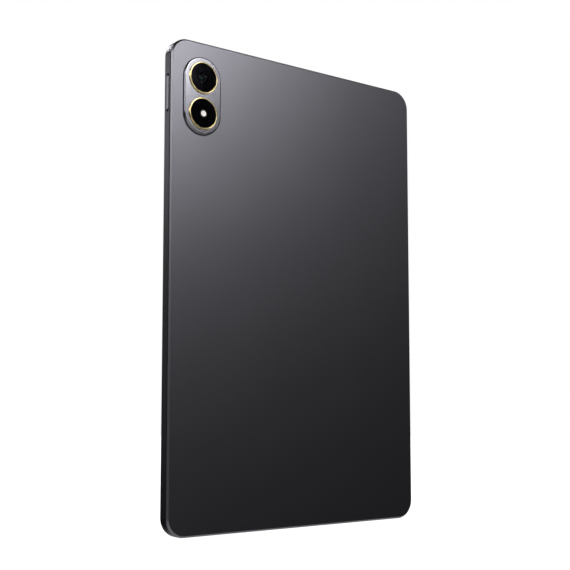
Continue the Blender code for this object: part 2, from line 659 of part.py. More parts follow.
def build_rings(shop):
    outer = RING_DIAMETER / 2
    inner = outer - RING_WALL
    lip = RING_OPENING / 2
    profile = [(outer, RING_FOOT), (outer, RING_TOP + RING_EDGE), (outer - RING_EDGE, RING_TOP),
               (inner + RING_EDGE, RING_TOP), (inner, RING_TOP + RING_EDGE), (inner, RING_FLANGE_TOP),
               (lip, RING_FLANGE_TOP), (lip, RING_FOOT)]
    turned(shop, "camera_ring", "gold_ring", profile, (CAMERA_X, CAMERA_Z))
    turned(shop, "flash_ring", "gold_ring", profile, (CAMERA_X, FLASH_Z))

    radius = COVER_DIAMETER / 2
    bottom = COVER_TOP + COVER_THICKNESS
    outside = [(radius, bottom), (radius, COVER_TOP + COVER_EDGE), (radius - COVER_EDGE, COVER_TOP)]
    cover = [(0, bottom), *outside, (0, COVER_TOP)]
    turned(shop, "camera_lens_cover", "black_glass", cover, (CAMERA_X, CAMERA_Z))
    hole = LIGHT_GUIDE_DIAMETER / 2 + COVER_FIT
    cover = [*outside, (hole, COVER_TOP), (hole, bottom)]
    turned(shop, "flash_lens_cover", "black_glass", cover, (CAMERA_X, FLASH_Z))


def build_camera(shop):
    half = CAMERA_BODY_SIZE / 2
    top = -CAMERA_BODY_TOP
    bottom = top + CAMERA_BODY_DEPTH
    body = block(shop, "rear_camera_body", "chip_black", (CAMERA_X - half, CAMERA_X + half),
                 (CAMERA_Z - half, CAMERA_Z + half), (top, bottom), CAMERA_BODY_ROUND)
    bore_depth = CAMERA_BODY_DEPTH - 2 * GAP
    bore = cylinder(CAMERA_BORE / 2, 2 * bore_depth, FINE_STEPS)
    boolean(body, shop.add("camera_bore", bore, None, (CAMERA_X, y_at(top), CAMERA_Z)))

    radius = BARREL_DIAMETER / 2
    barrel_top = RING_FLANGE_TOP - FILM + BARREL_TRAVEL + GAP
    barrel_bottom = top + bore_depth - GAP
    snout = 0.6 * radius
    barrel = [(0, barrel_bottom), (radius, barrel_bottom), (radius, barrel_top + 2 * GAP),
              (radius - GAP, barrel_top + GAP), (snout, barrel_top + GAP), (snout * 0.8, barrel_top),
              (0, barrel_top)]
    turned(shop, "lens_barrel", "chip_black", barrel, (CAMERA_X, CAMERA_Z), FINE_STEPS)

    sensor_back = bottom + FILM
    sensor_front = sensor_back + SENSOR_THICKNESS
    block(shop, "rear_camera_sensor", "board_green", (CAMERA_X - half, CAMERA_X + half),
          (CAMERA_Z - half, CAMERA_Z + half), (sensor_back, sensor_front))

    z = MAIN_BOARD_TOP - CAMERA_FLEX_WIDTH / 2 - SIDE_GAP
    high = y_at(sensor_front + FILM + FLEX_THICKNESS)
    low = y_at(MAIN_BOARD_FRONT + 2 * FILM)
    start = CAMERA_X + half / 2
    path = [(start, high, z), (start + CAMERA_FLEX_LANDING, high, z),
            (MAIN_BOARD_LEFT - CAMERA_FLEX_BEND, low, z), (MAIN_BOARD_LEFT + CAMERA_FLEX_LANDING, low, z)]
    ribbon(shop, "rear_camera_flex", "flex_amber", path, (0, 0, CAMERA_FLEX_WIDTH), FLEX_THICKNESS)


def build_flash(shop):
    board_back = ISLAND_FOOT + FILM
    led_back = board_back - FILM - LED_HEIGHT
    guide_foot = led_back - FILM
    guide = LIGHT_GUIDE_DIAMETER / 2
    flange_top = COVER_TOP + COVER_THICKNESS + FILM
    flange_foot = flange_top + LIGHT_GUIDE_FLANGE_THICKNESS
    wide = guide + LIGHT_GUIDE_FLANGE
    profile = [(0, guide_foot), (guide, guide_foot), (guide, flange_foot), (wide, flange_foot),
               (wide, flange_top), (guide, flange_top), (guide, COVER_TOP), (0, COVER_TOP)]
    turned(shop, "flash_light_guide", "white_diffuser", profile, (CAMERA_X, FLASH_Z), FINE_STEPS)
    half = LED_SIZE / 2
    block(shop, "flash_led", "yellow_phosphor", (CAMERA_X - half, CAMERA_X + half),
          (FLASH_Z - half, FLASH_Z + half), (led_back, led_back + LED_HEIGHT))
    board = cylinder(FLASH_BOARD_DIAMETER / 2, BOARD_THICKNESS, FINE_STEPS)
    shop.add("flash_board", board, "board_green",
             (CAMERA_X, y_at(board_back + BOARD_THICKNESS / 2), FLASH_Z))


# ---------------------------------------------------------------- display

def display_slab(shop, name, finish, margin, depth, edge_round=0.0):
    """A slab that follows the tablet's outline, a margin in from its edge."""
    radius = max(CORNER_RADIUS - margin, LEAST_CORNER)
    bm = rounded_box(WIDTH - 2 * margin, depth[1] - depth[0], LENGTH - 2 * margin, 1, radius)
    if edge_round:
        bm.normal_update()
        rim = list(end_face(bm, 1).edges)
        bmesh.ops.bevel(bm, geom=rim, offset=edge_round, offset_type="OFFSET", segments=2,
                        profile=0.5, affect="EDGES")
    return shop.add(name, bm, finish, (0, y_at((depth[0] + depth[1]) / 2), MIDDLE_Z))


def build_display(shop):
    glass_margin = RIM + BEZEL_FIT + BEZEL_LIP + BEZEL_FIT
    display_slab(shop, "cover_glass", "screen_glass", glass_margin, (GLASS_BACK, THICKNESS),
                 GLASS_EDGE_ROUND)
    display_slab(shop, "lcd_panel", "panel_grey", DISPLAY_MARGIN, (PANEL_BACK, PANEL_FRONT))
    display_slab(shop, "backlight_unit", "reflector_white", DISPLAY_MARGIN,
                 (BACKLIGHT_BACK, BACKLIGHT_FRONT))

    bezel = display_slab(shop, "front_bezel", "black_plastic", RIM + BEZEL_FIT,
                         (CARRIER_BACK, RIM_FRONT - FILM))
    seat_margin = glass_margin - BEZEL_FIT
    seat = rounded_box(WIDTH - 2 * seat_margin, THICKNESS, LENGTH - 2 * seat_margin, 1,
                       CORNER_RADIUS - seat_margin)
    boolean(bezel, shop.add("glass_seat", seat, None, (0, y_at(PANEL_FRONT + THICKNESS / 2), MIDDLE_Z)))
    window_margin = DISPLAY_MARGIN - GAP
    window = rounded_box(WIDTH - 2 * window_margin, THICKNESS, LENGTH - 2 * window_margin, 1,
                         CORNER_RADIUS - window_margin)
    boolean(bezel, shop.add("display_window", window, None, (0, y_at(CARRIER_BACK), MIDDLE_Z)))

    low = MIDDLE_Z - FRONT_CAMERA_SIZE / 2 - GAP
    high = MIDDLE_Z + LIGHT_SENSOR_SPACING + LIGHT_SENSOR_SIZE / 2 + GAP
    left = FRONT_CAMERA_X - FRONT_CAMERA_SIZE / 2 - GAP
    right = -HALF_WIDTH + DISPLAY_MARGIN
    notch = cube(right - left, THICKNESS, high - low,
                 ((left + right) / 2, y_at(PANEL_FRONT - THICKNESS / 2 + FILM / 2), (low + high) / 2))
    boolean(bezel, shop.add("camera_notch", notch))


def build_plate(shop):
    half_width = HALF_WIDTH - PLATE_SIDE_MARGIN
    plate = block(shop, "mid_plate", "steel", (-half_width, half_width),
                  (PLATE_END_MARGIN, LENGTH - PLATE_END_MARGIN), (PLATE_BACK, PLATE_FRONT),
                  PLATE_ROUND)
    holes = [cylinder(SCREW_SHANK / 2 + SCREW_CLEARANCE, 2 * THICKNESS, TINY_STEPS, "Y", (x, 0, z))
             for x, z in screw_places()]
    boolean(plate, shop.add("plate_holes", join(*holes)))
    reader_low, reader_high = reader_limits()
    left = reader_low[0] - SIDE_GAP
    right = HALF_WIDTH
    notch = cube(right - left, THICKNESS, reader_high[1] - reader_low[1] + 2 * SIDE_GAP,
                 ((left + right) / 2, 0, TRAY_Z))
    boolean(plate, shop.add("reader_notch", notch))
    x, z = display_flex_place()
    slot = cube(DISPLAY_FLEX_WIDTH + 2 * SIDE_GAP, THICKNESS, PLATE_FLEX_SLOT,
                (x, 0, z - PLATE_SLOT_OFFSET))
    boolean(plate, shop.add("flex_slot", slot))

    for number, (x, z) in enumerate(screw_places(), 1):
        head_back = PLATE_FRONT + FILM
        shank = SCREW_SHANK / 2
        head = SCREW_HEAD / 2
        tip = head_back - SCREW_LENGTH
        profile = [(0, head_back + SCREW_HEAD_HEIGHT), (head, head_back + SCREW_HEAD_HEIGHT),
                   (head, head_back), (shank, head_back), (shank, tip), (0, tip)]
        turned(shop, "plate_screw_%d" % number, "steel", profile, (x, z), TINY_STEPS)


# ---------------------------------------------------------------- boards and battery

def display_flex_place():
    """X of the display flex, and the height where it passes through the plate."""
    shield_edge = POWER_SHIELD_LEFT + POWER_SHIELD_WIDTH
    reader_edge = reader_limits()[0][0]
    spare = reader_edge - shield_edge - DISPLAY_FLEX_WIDTH
    return (shield_edge + DISPLAY_FLEX_SHARE * spare + DISPLAY_FLEX_WIDTH / 2,
            MAIN_BOARD_TOP - DISPLAY_FLEX_FROM_TOP)


def shield_can(shop, name, x, z):
    """A pressed can, open towards the board."""
    depth = (MAIN_BOARD_FRONT + FILM, MAIN_BOARD_FRONT + FILM + SHIELD_DEPTH)
    can = block(shop, name, "steel", x, z, depth, SHIELD_ROUND)
    room = rounded_box(x[1] - x[0] - 2 * SHIELD_WALL, SHIELD_DEPTH, z[1] - z[0] - 2 * SHIELD_WALL,
                       1, SHIELD_ROUND - SHIELD_WALL)
    place = ((x[0] + x[1]) / 2, y_at(depth[0] + SHIELD_DEPTH / 2 - SHIELD_WALL), (z[0] + z[1]) / 2)
    boolean(can, shop.add(name + "_room", room, None, place))


def build_main_board(shop):
    block(shop, "main_board", "board_green", (MAIN_BOARD_LEFT, MAIN_BOARD_RIGHT),
          (MAIN_BOARD_BOTTOM, MAIN_BOARD_TOP), (MAIN_BOARD_BACK, MAIN_BOARD_FRONT), MAIN_BOARD_ROUND)
    left = MAIN_BOARD_LEFT + PROCESSOR_SHIELD_FROM_EDGE
    bottom = MAIN_BOARD_BOTTOM + SHIELD_FROM_BOTTOM
    right = left + PROCESSOR_SHIELD_WIDTH
    top = bottom + PROCESSOR_SHIELD_HEIGHT
    shield_can(shop, "processor_shield", (left, right), (bottom, top))
    middle_x = (left + right) / 2
    middle_z = (bottom + top) / 2
    half = PROCESSOR_SIZE / 2
    chip_back = MAIN_BOARD_FRONT + FILM
    block(shop, "processor_chip", "chip_black", (middle_x - half, middle_x + half),
          (middle_z - half, middle_z + half), (chip_back, chip_back + PROCESSOR_THICKNESS))
    block(shop, "heat_spreader", "copper", (left - SPREADER_MARGIN, right + SPREADER_MARGIN),
          (bottom - SPREADER_MARGIN, top + SPREADER_MARGIN),
          (COMPONENT_TOP - SPREADER_THICKNESS, COMPONENT_TOP), SPREADER_ROUND)
    shield_can(shop, "power_shield", (POWER_SHIELD_LEFT, POWER_SHIELD_LEFT + POWER_SHIELD_WIDTH),
               (bottom, bottom + POWER_SHIELD_HEIGHT))

    x, z = display_flex_place()
    high = y_at(PLATE_FRONT + PLATE_TO_BACKLIGHT / 2)
    low = y_at(MAIN_BOARD_FRONT + 3 * FILM)
    bend_foot = z - DISPLAY_FLEX_BEND - 2 * DISPLAY_FLEX_TURN
    path = [(x, high, z + DISPLAY_FLEX_ABOVE), (x, high, z + DISPLAY_FLEX_BEND),
            (x, high - DISPLAY_FLEX_TURN, z + DISPLAY_FLEX_TURN),
            (x, low + DISPLAY_FLEX_FALL, z - DISPLAY_FLEX_BEND), (x, low, bend_foot),
            (x, low, bend_foot - DISPLAY_FLEX_LANDING)]
    ribbon(shop, "display_flex", "flex_amber", path, (DISPLAY_FLEX_WIDTH, 0, 0), FLEX_THICKNESS)


def build_battery(shop):
    depth = (FLOOR + FILM, COMPONENT_TOP)
    for side, name in ((-1, "battery_cell_left"), (1, "battery_cell_right")):
        limits = sorted((side * BATTERY_INNER, side * BATTERY_OUTER))
        block(shop, name, "battery_pouch", limits, (BATTERY_BOTTOM, BATTERY_TOP), depth, BATTERY_ROUND)
    half = BATTERY_OUTER - BATTERY_BOARD_INSET
    block(shop, "battery_board", "board_green", (-half, half),
          (BATTERY_BOARD_TOP - BATTERY_BOARD_HEIGHT, BATTERY_BOARD_TOP),
          (MAIN_BOARD_BACK, MAIN_BOARD_FRONT))


def build_port(shop):
    board_bottom = BAY_BOTTOM + GAP
    board_front = USB_DEPTH - USB_HEIGHT / 2 - FILM
    board_top = board_bottom + USB_BOARD_LENGTH
    half = USB_BOARD_WIDTH / 2
    block(shop, "usb_board", "board_green", (-half, half), (board_bottom, board_top),
          (board_front - USB_BOARD_THICKNESS, board_front), USB_BOARD_ROUND)

    shell = rounded_box(USB_WIDTH, USB_HEIGHT, USB_LENGTH, 2, USB_HEIGHT / 2 - ROUND_END)
    middle = GAP + USB_LENGTH / 2
    shell = shop.add("usb_shell", shell, "steel", (0, y_at(USB_DEPTH), middle))
    inner_height = USB_HEIGHT - 2 * USB_WALL
    mouth = rounded_box(USB_WIDTH - 2 * USB_WALL, inner_height, USB_LENGTH, 2, inner_height / 2 - ROUND_END)
    boolean(shell, shop.add("usb_mouth", mouth, None, (0, y_at(USB_DEPTH), middle - USB_WALL)))

    tongue_half = USB_TONGUE_WIDTH / 2
    block(shop, "usb_tongue", "chip_black", (-tongue_half, tongue_half),
          (GAP + USB_TONGUE_INSET, GAP + USB_LENGTH - USB_WALL - FILM),
          (USB_DEPTH - USB_TONGUE_THICKNESS / 2, USB_DEPTH + USB_TONGUE_THICKNESS / 2))

    link_back = MAIN_BOARD_FRONT + 2 * FILM
    half = LINK_FLEX_WIDTH / 2
    block(shop, "link_flex", "flex_amber", (-half, half),
          (board_top - LINK_FLEX_OVERLAP, MAIN_BOARD_BOTTOM + SHIELD_FROM_BOTTOM - GAP),
          (link_back, link_back + FLEX_THICKNESS))

    long_side, short_side, height = MICROPHONE_SIZE
    x = BOTTOM_MICROPHONE_FROM_CENTRE
    block(shop, "bottom_microphone", "steel", (x - long_side / 2, x + long_side / 2),
          (BAY_BOTTOM + GAP, BAY_BOTTOM + GAP + short_side), (board_front + FILM, USB_DEPTH + height / 2))
    depth = (KEY_DEPTH - height / 2, KEY_DEPTH + height / 2)
    block(shop, "side_microphone", "steel", (-BAY_HALF_WIDTH + GAP, -BAY_HALF_WIDTH + GAP + short_side),
          (SIDE_MICROPHONE_Z - long_side / 2, SIDE_MICROPHONE_Z + long_side / 2), depth)


def build_speakers(shop):
    depth = (FLOOR + GAP, FLOOR + GAP + SPEAKER_THICKNESS)
    half = SPEAKER_LENGTH / 2
    rows = (("top", TOP_SPEAKER_X, TOP_SPEAKER_BOTTOM),
            ("bottom", BOTTOM_SPEAKER_X, BOTTOM_SPEAKER_TOP - SPEAKER_HEIGHT))
    for row, centre, low in rows:
        for side, hand in ((-1, "left"), (1, "right")):
            x = side * centre
            block(shop, "speaker_%s_%s" % (row, hand), "black_plastic", (x - half, x + half),
                  (low, low + SPEAKER_HEIGHT), depth, SPEAKER_ROUND)

    row_half = (SOUND_SLOT_COUNT - 1) / 2 * SOUND_SLOT_PITCH + SOUND_SLOT_LENGTH / 2 + DUST_MESH_OVERLAP
    mesh_depth = (SOUND_SLOT_DEPTH - DUST_MESH_WIDTH / 2, SOUND_SLOT_DEPTH + DUST_MESH_WIDTH / 2)
    reach = TOP_SPEAKER_X + row_half
    top = BAY_TOP - GAP
    block(shop, "dust_mesh_top", "mesh_black", (-reach, reach), (top - DUST_MESH_THICKNESS, top), mesh_depth)
    bottom = BAY_BOTTOM + GAP
    for side, hand in ((-1, "left"), (1, "right")):
        x = side * BOTTOM_SPEAKER_X
        block(shop, "dust_mesh_bottom_" + hand, "mesh_black", (x - row_half, x + row_half),
              (bottom, bottom + DUST_MESH_THICKNESS), mesh_depth)


# ---------------------------------------------------------------- keys

def key_solid(length, nubs, turn):
    """A key drawn with its outer face towards +Z and its length along X, its middle at the wall's
    outer plane; turned to its wall. Returns the cap with its flange and nubs as overlapping bodies."""
    flange_top = -(WALL + KEY_FLANGE_BACKLASH)
    cap_height = KEY_PROUD - flange_top + KEY_FLANGE_THICKNESS / 2
    cap = rounded_box(length, KEY_WIDTH, cap_height, 2, KEY_WIDTH / 2 - ROUND_END, SMALL_STEPS,
                      (0, 0, KEY_PROUD - cap_height / 2))
    cap.normal_update()
    top = max(cap.faces, key=lambda face: face.calc_center_median().z)
    bmesh.ops.bevel(cap, geom=list(top.edges), offset=KEY_EDGE, offset_type="OFFSET", segments=1,
                    profile=0.5, affect="EDGES")
    flange = cube(length + 2 * KEY_FLANGE_OVERHANG + 2 * VOLUME_KEY_END_FIT, KEY_WIDTH + KEY_FLANGE_OVERHANG,
                  KEY_FLANGE_THICKNESS, (0, 0, flange_top - KEY_FLANGE_THICKNESS / 2))
    nub_bodies = []
    for x in nubs:
        height = KEY_NUB_HEIGHT + KEY_FLANGE_THICKNESS / 2
        centre = (x, 0, flange_top - KEY_FLANGE_THICKNESS - KEY_NUB_HEIGHT + height / 2)
        nub_bodies.append(cylinder(KEY_NUB_DIAMETER / 2, height, TINY_STEPS, "Z", centre))
    nub_mesh = join(*nub_bodies)
    for bm in (cap, flange, nub_mesh):
        bmesh.ops.transform(bm, matrix=turn, verts=bm.verts)
    return cap, flange, nub_mesh


def build_key(shop, name, length, nubs, turn, place):
    cap, flange, nub_mesh = key_solid(length, nubs, turn)
    key = shop.add(name, cap, "satin_aluminium", place)
    boolean(key, shop.add(name + "_flange", flange, None, place), "UNION")
    boolean(key, shop.add(name + "_nubs", nub_mesh, None, place), "UNION")
    return key


def build_keys(shop):
    nub_end = WALL + KEY_FLANGE_BACKLASH + KEY_FLANGE_THICKNESS + KEY_NUB_HEIGHT
    switch_near = nub_end + SWITCH_CLEARANCE
    switch_far = switch_near + SWITCH_HEIGHT
    flex_middle = switch_far + FILM + FLEX_THICKNESS / 2
    bracket_middle = flex_middle + FLEX_THICKNESS / 2 + FILM + BRACKET_THICKNESS / 2
    switch_depth = (KEY_DEPTH - SWITCH_WIDTH / 2, KEY_DEPTH + SWITCH_WIDTH / 2)
    half = SWITCH_LENGTH / 2

    # The volume key's origin is on its pivot: the flange's mid plane, half way along the key.
    pivot = WALL + KEY_FLANGE_BACKLASH + KEY_FLANGE_THICKNESS / 2
    to_left = Matrix.Translation((-pivot, 0, 0)) @ Matrix.Rotation(-math.pi / 2, 4, "Y")
    spread = VOLUME_SWITCH_SPACING / 2
    build_key(shop, "volume_key", VOLUME_KEY_LENGTH, (-spread, spread), to_left,
              (-HALF_WIDTH + pivot, y_at(KEY_DEPTH), VOLUME_KEY_Z))
    build_key(shop, "power_key", POWER_KEY_LENGTH, (0,), Matrix.Identity(4),
              (POWER_KEY_X, y_at(KEY_DEPTH), LENGTH))

    for side, name in ((1, "volume_up_switch"), (-1, "volume_down_switch")):
        z = VOLUME_KEY_Z + side * spread
        block(shop, name, "steel", (-HALF_WIDTH + switch_near, -HALF_WIDTH + switch_far),
              (z - half, z + half), switch_depth)
    block(shop, "power_switch", "steel", (POWER_KEY_X - half, POWER_KEY_X + half),
          (LENGTH - switch_far, LENGTH - switch_near), switch_depth)

    y = y_at(KEY_DEPTH)
    reach = VOLUME_KEY_LENGTH / 2 + BRACKET_OVERHANG
    wall_x = -HALF_WIDTH + WALL + GAP
    x = -HALF_WIDTH + bracket_middle
    low = VOLUME_KEY_Z - reach
    path = [(wall_x, y, low), (x, y, low), (x, y, VOLUME_KEY_Z + reach)]
    ribbon(shop, "volume_key_bracket", "steel", path, (0, BRACKET_WIDTH, 0), BRACKET_THICKNESS)
    reach = POWER_KEY_LENGTH / 2 + BRACKET_OVERHANG
    z = LENGTH - bracket_middle
    right = POWER_KEY_X + reach
    path = [(POWER_KEY_X - reach / 2, y, z), (right, y, z), (right, y, BAY_TOP - GAP)]
    ribbon(shop, "power_key_bracket", "steel", path, (0, BRACKET_WIDTH, 0), BRACKET_THICKNESS)

    x = -HALF_WIDTH + flex_middle
    z = LENGTH - flex_middle
    turn = CORNER_RADIUS - WALL
    path = [(x, y, VOLUME_KEY_Z - spread - half), (x, y, z - turn), (x + turn, y, z),
            (POWER_KEY_X + half, y, z)]
    ribbon(shop, "key_flex", "flex_amber", path, (0, SWITCH_WIDTH, 0), FLEX_THICKNESS)


# ---------------------------------------------------------------- card tray

def reader_limits():
    """Low and high corners of the card reader in X and Z."""
    half = TRAY_TONGUE_WIDTH / 2 + READER_FIT + READER_WALL
    right = BAY_HALF_WIDTH - GAP
    left = HALF_WIDTH - TRAY_FACE_THICKNESS - TRAY_TONGUE_LENGTH - READER_FIT - READER_WALL
    return (left, TRAY_Z - half), (right, TRAY_Z + half)


def build_tray(shop):
    face = rounded_box(TRAY_FACE_THICKNESS, TRAY_FACE_WIDTH, TRAY_FACE_LENGTH, 0,
                       TRAY_FACE_WIDTH / 2 - ROUND_END)
    place = (HALF_WIDTH - TRAY_FACE_THICKNESS / 2, y_at(TRAY_DEPTH), TRAY_Z)
    tray = shop.add("card_tray", face, "satin_aluminium", place)
    overlap = TRAY_FACE_THICKNESS / 2
    length = TRAY_TONGUE_LENGTH + overlap
    tongue = cube(length, TRAY_TONGUE_THICKNESS, TRAY_TONGUE_WIDTH)
    middle = HALF_WIDTH - TRAY_FACE_THICKNESS + overlap - length / 2
    boolean(tray, shop.add("tray_tongue", tongue, None, (middle, y_at(TRAY_DEPTH), TRAY_Z)), "UNION")
    card = rounded_box(CARD_LENGTH, 2 * TRAY_TONGUE_THICKNESS, CARD_WIDTH, 1, CARD_ROUND, 2)
    left = HALF_WIDTH - TRAY_FACE_THICKNESS - TRAY_TONGUE_LENGTH + CARD_END_WALL
    boolean(tray, shop.add("card_pocket", card, None, (left + CARD_LENGTH / 2, y_at(TRAY_DEPTH), TRAY_Z)))

    low, high = reader_limits()
    half = TRAY_TONGUE_THICKNESS / 2 + READER_FIT + READER_WALL
    reader = block(shop, "card_reader", "steel", (low[0], high[0]), (low[1], high[1]),
                   (TRAY_DEPTH - half, TRAY_DEPTH + half))
    length = high[0] - low[0]
    room = cube(length, 2 * (half - READER_WALL), high[1] - low[1] - 2 * READER_WALL)
    place = ((low[0] + high[0]) / 2 + READER_WALL, y_at(TRAY_DEPTH), TRAY_Z)
    boolean(reader, shop.add("reader_room", room, None, place))


# ---------------------------------------------------------------- front sensors and antennas

def build_front_sensors(shop):
    half = FRONT_CAMERA_SIZE / 2
    front = PANEL_FRONT
    block(shop, "front_camera", "chip_black", (FRONT_CAMERA_X - half, FRONT_CAMERA_X + half),
          (MIDDLE_Z - half, MIDDLE_Z + half), (front - FRONT_CAMERA_HEIGHT, front),
          FRONT_CAMERA_ROUND)
    half = LIGHT_SENSOR_SIZE / 2
    z = MIDDLE_Z + LIGHT_SENSOR_SPACING
    block(shop, "light_sensor", "chip_black", (FRONT_CAMERA_X - half, FRONT_CAMERA_X + half),
          (z - half, z + half), (front - LIGHT_SENSOR_HEIGHT, front))


def build_antennas(shop):
    depth = (FLOOR + GAP, FLOOR + GAP + ANTENNA_THICKNESS)
    outer = BAY_HALF_WIDTH - SIDE_GAP
    left = TOP_SPEAKER_X + SPEAKER_LENGTH / 2 + SIDE_GAP
    top = BAY_TOP - SIDE_GAP
    block(shop, "antenna_top", "black_plastic", (left, outer), (top - ANTENNA_HEIGHT, top), depth,
          ANTENNA_ROUND)
    right = -(BOTTOM_SPEAKER_X + SPEAKER_LENGTH / 2 + SIDE_GAP)
    bottom = BAY_BOTTOM + SIDE_GAP
    block(shop, "antenna_bottom", "black_plastic", (-outer, right), (bottom, bottom + ANTENNA_HEIGHT),
          depth, ANTENNA_ROUND)


def main():
    shop = Workshop()
    build_housing(shop)
    build_island(shop)
    build_rings(shop)
    build_camera(shop)
    build_flash(shop)
    build_display(shop)
    build_plate(shop)
    build_main_board(shop)
    build_battery(shop)
    build_port(shop)
    build_speakers(shop)
    build_keys(shop)
    build_tray(shop)
    build_front_sensors(shop)
    build_antennas(shop)


main()
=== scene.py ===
"""Looks of a tablet computer with a raised twin-ring camera island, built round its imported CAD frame.

Everything is in metres, in the frame of the CAD: the tablet stands upright on its bottom short edge,
its back faces -Y, its screen +Y, and the camera island is at the -X, +Z corner of the back.
"""

import json
import math
from contextlib import contextmanager

import bmesh
import bpy
from bpy.props import FloatProperty, FloatVectorProperty, IntProperty, PointerProperty
from bpy.types import Operator, Panel, PropertyGroup
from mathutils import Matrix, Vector


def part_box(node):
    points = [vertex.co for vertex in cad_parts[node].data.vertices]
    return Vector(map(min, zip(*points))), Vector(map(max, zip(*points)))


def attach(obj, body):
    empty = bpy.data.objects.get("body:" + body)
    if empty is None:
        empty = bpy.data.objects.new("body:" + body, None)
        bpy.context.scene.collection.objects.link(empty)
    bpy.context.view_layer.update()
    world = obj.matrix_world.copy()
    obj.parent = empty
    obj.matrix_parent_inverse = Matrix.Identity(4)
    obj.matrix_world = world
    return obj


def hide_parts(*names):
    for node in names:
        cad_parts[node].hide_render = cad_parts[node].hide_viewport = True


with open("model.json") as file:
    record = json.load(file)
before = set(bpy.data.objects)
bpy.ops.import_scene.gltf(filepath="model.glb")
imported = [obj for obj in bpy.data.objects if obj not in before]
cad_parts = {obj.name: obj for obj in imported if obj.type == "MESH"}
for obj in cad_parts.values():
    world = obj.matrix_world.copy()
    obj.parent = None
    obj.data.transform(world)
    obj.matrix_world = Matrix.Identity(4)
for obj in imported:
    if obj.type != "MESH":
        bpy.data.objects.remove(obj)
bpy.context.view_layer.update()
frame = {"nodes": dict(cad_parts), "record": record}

bl_info = {
    "name": "Tablet Computer",
    "version": (1, 0, 0),
    "blender": (4, 5, 0),
    "location": "3D View > Sidebar > Tablet",
    "description": "Models a tablet computer piece by piece round its CAD frame, with finishes and a studio",
    "category": "Add Mesh",
}

MM = 0.001
X, Y, Z = range(3)
WELD = 0.004 * MM         # points closer than this are one
SLIVER = 0.001 * MM       # what a half-round end keeps short of its full radius, closed by the weld


# ------------------------------------------------------------------ places taken from the frame

def middle(node):
    low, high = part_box(node)
    return (low + high) / 2


HOUSING_LOW, HOUSING_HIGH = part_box("rear_housing")
BACK = HOUSING_LOW.y
RIM_FRONT = HOUSING_HIGH.y
GLASS_LOW, GLASS_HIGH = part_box("cover_glass")
GASKET_LOW, GASKET_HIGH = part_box("front_bezel")
ISLAND_LOW, ISLAND_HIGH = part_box("camera_island")
RING_LOW, RING_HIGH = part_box("camera_ring")
COVER_LOW, COVER_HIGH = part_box("camera_lens_cover")
GUIDE_LOW, GUIDE_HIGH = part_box("flash_light_guide")
BARREL_LOW, BARREL_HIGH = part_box("lens_barrel")
PORT_LOW, PORT_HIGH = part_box("usb_shell")
TONGUE_LOW, TONGUE_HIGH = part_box("usb_tongue")
VOLUME_LOW, VOLUME_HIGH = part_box("volume_key")
POWER_LOW, POWER_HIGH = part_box("power_key")
TRAY_LOW, TRAY_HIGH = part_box("card_tray")
CAMERA = middle("camera_ring")
FLASH = middle("flash_ring")
FRONT_CAMERA = middle("front_camera")


# ------------------------------------------------------------------ colours and settings

def linear(code):
    """A #RRGGBB colour as the linear numbers that shaders and lights take."""
    channels = [int(code[i:i + 2], 16) / 255 for i in (1, 3, 5)]
    return tuple(c / 12.92 if c <= 0.04045 else ((c + 0.055) / 1.055) ** 2.4 for c in channels)


def size(name, millimetres, description):
    return FloatProperty(name=name, description=description, default=millimetres * MM, unit="LENGTH",
                         precision=5)


def colour(name, code, description):
    return FloatVectorProperty(name=name, description=description, default=linear(code), size=3,
                               subtype="COLOR", min=0, max=1)


class TabletSizes(PropertyGroup):
    """Sizes that the CAD's boxes don't give by themselves."""
    corner_radius: size("Corner radius", 11.2, "Radius of the housing's four corners, seen from the back")
    wall: size("Wall", 2.6, "Thickness of the housing's side walls below the display's ledge")
    floor: size("Floor", 0.9, "Thickness of the back")
    rim: size("Rim", 1.0, "Width of the metal rim round the screen")
    rim_edge: size("Rim edge", 0.2, "Round on the rim's outer edge")
    back_chamfer: size("Back chamfer", 0.9, "Cut bevel between the back and the side")
    edge_inset: size("Edge inset", 0.2, "How far the side has curved in where it meets the bevel")
    edge_depth: size("Edge depth", 0.8, "Depth of the side's curved band above the bevel")
    island_round: size("Island round", 0.9, "Round on the camera island's top edge")
    island_flange: size("Island flange", 1.1, "Overhang of the island's flange inside the housing")
    ring_wall: size("Ring wall", 0.8, "Thickness of the camera rings' visible walls")
    ring_foot: size("Ring foot", 0.16, "Bevelled foot at the base of each ring")
    window: size("Lens window", 3.3, "Radius of the clear window in the camera's cover")
    flash_face: size("Flash face", 1.86, "Radius of the light guide's white face, inside its dark rim")
    key_width: size("Key width", 2.1, "Width of both keys across the side")
    volume_length: size("Volume key length", 19.8, "Length of the volume key's face")
    power_length: size("Power key length", 13.0, "Length of the power key's face")
    tray_width: size("Tray face width", 2.0, "Width of the card tray's face")
    tray_face: size("Tray face thickness", 1.0, "Thickness of the card tray's face")
    slot_length: size("Sound slot length", 3.0, "Length of one sound slot")
    slot_width: size("Sound slot width", 1.1, "Width of one sound slot")
    slot_pitch: size("Sound slot pitch", 4.2, "Distance between two sound slots")
    slots_per_row: IntProperty(name="Sound slots", description="Slots in each of the four rows", default=6)


class TabletColours(PropertyGroup):
    """Colours of the finishes."""
    anodised: colour("Anodised aluminium", "#84838A", "Space-grey dye of the blasted and anodised housing")
    satin: colour("Satin aluminium", "#9B9AA1", "Lighter grey of the satin island and keys")
    gold: colour("Gold ring", "#E2CE96", "Pale gold of the turned rings")
    ink: colour("Black ink", "#050507", "Ink printed under the glass")
    # the diffuser colour is also the colour of the flash guide's painted glow
    diffuser: colour("Diffuser", "#EDEBE6", "White of the flash's light guide")
    rubber: colour("Gasket", "#121213", "Black of the moulded gasket")
    floor: colour("Floor", "#FFFFFF", "Pale studio floor")


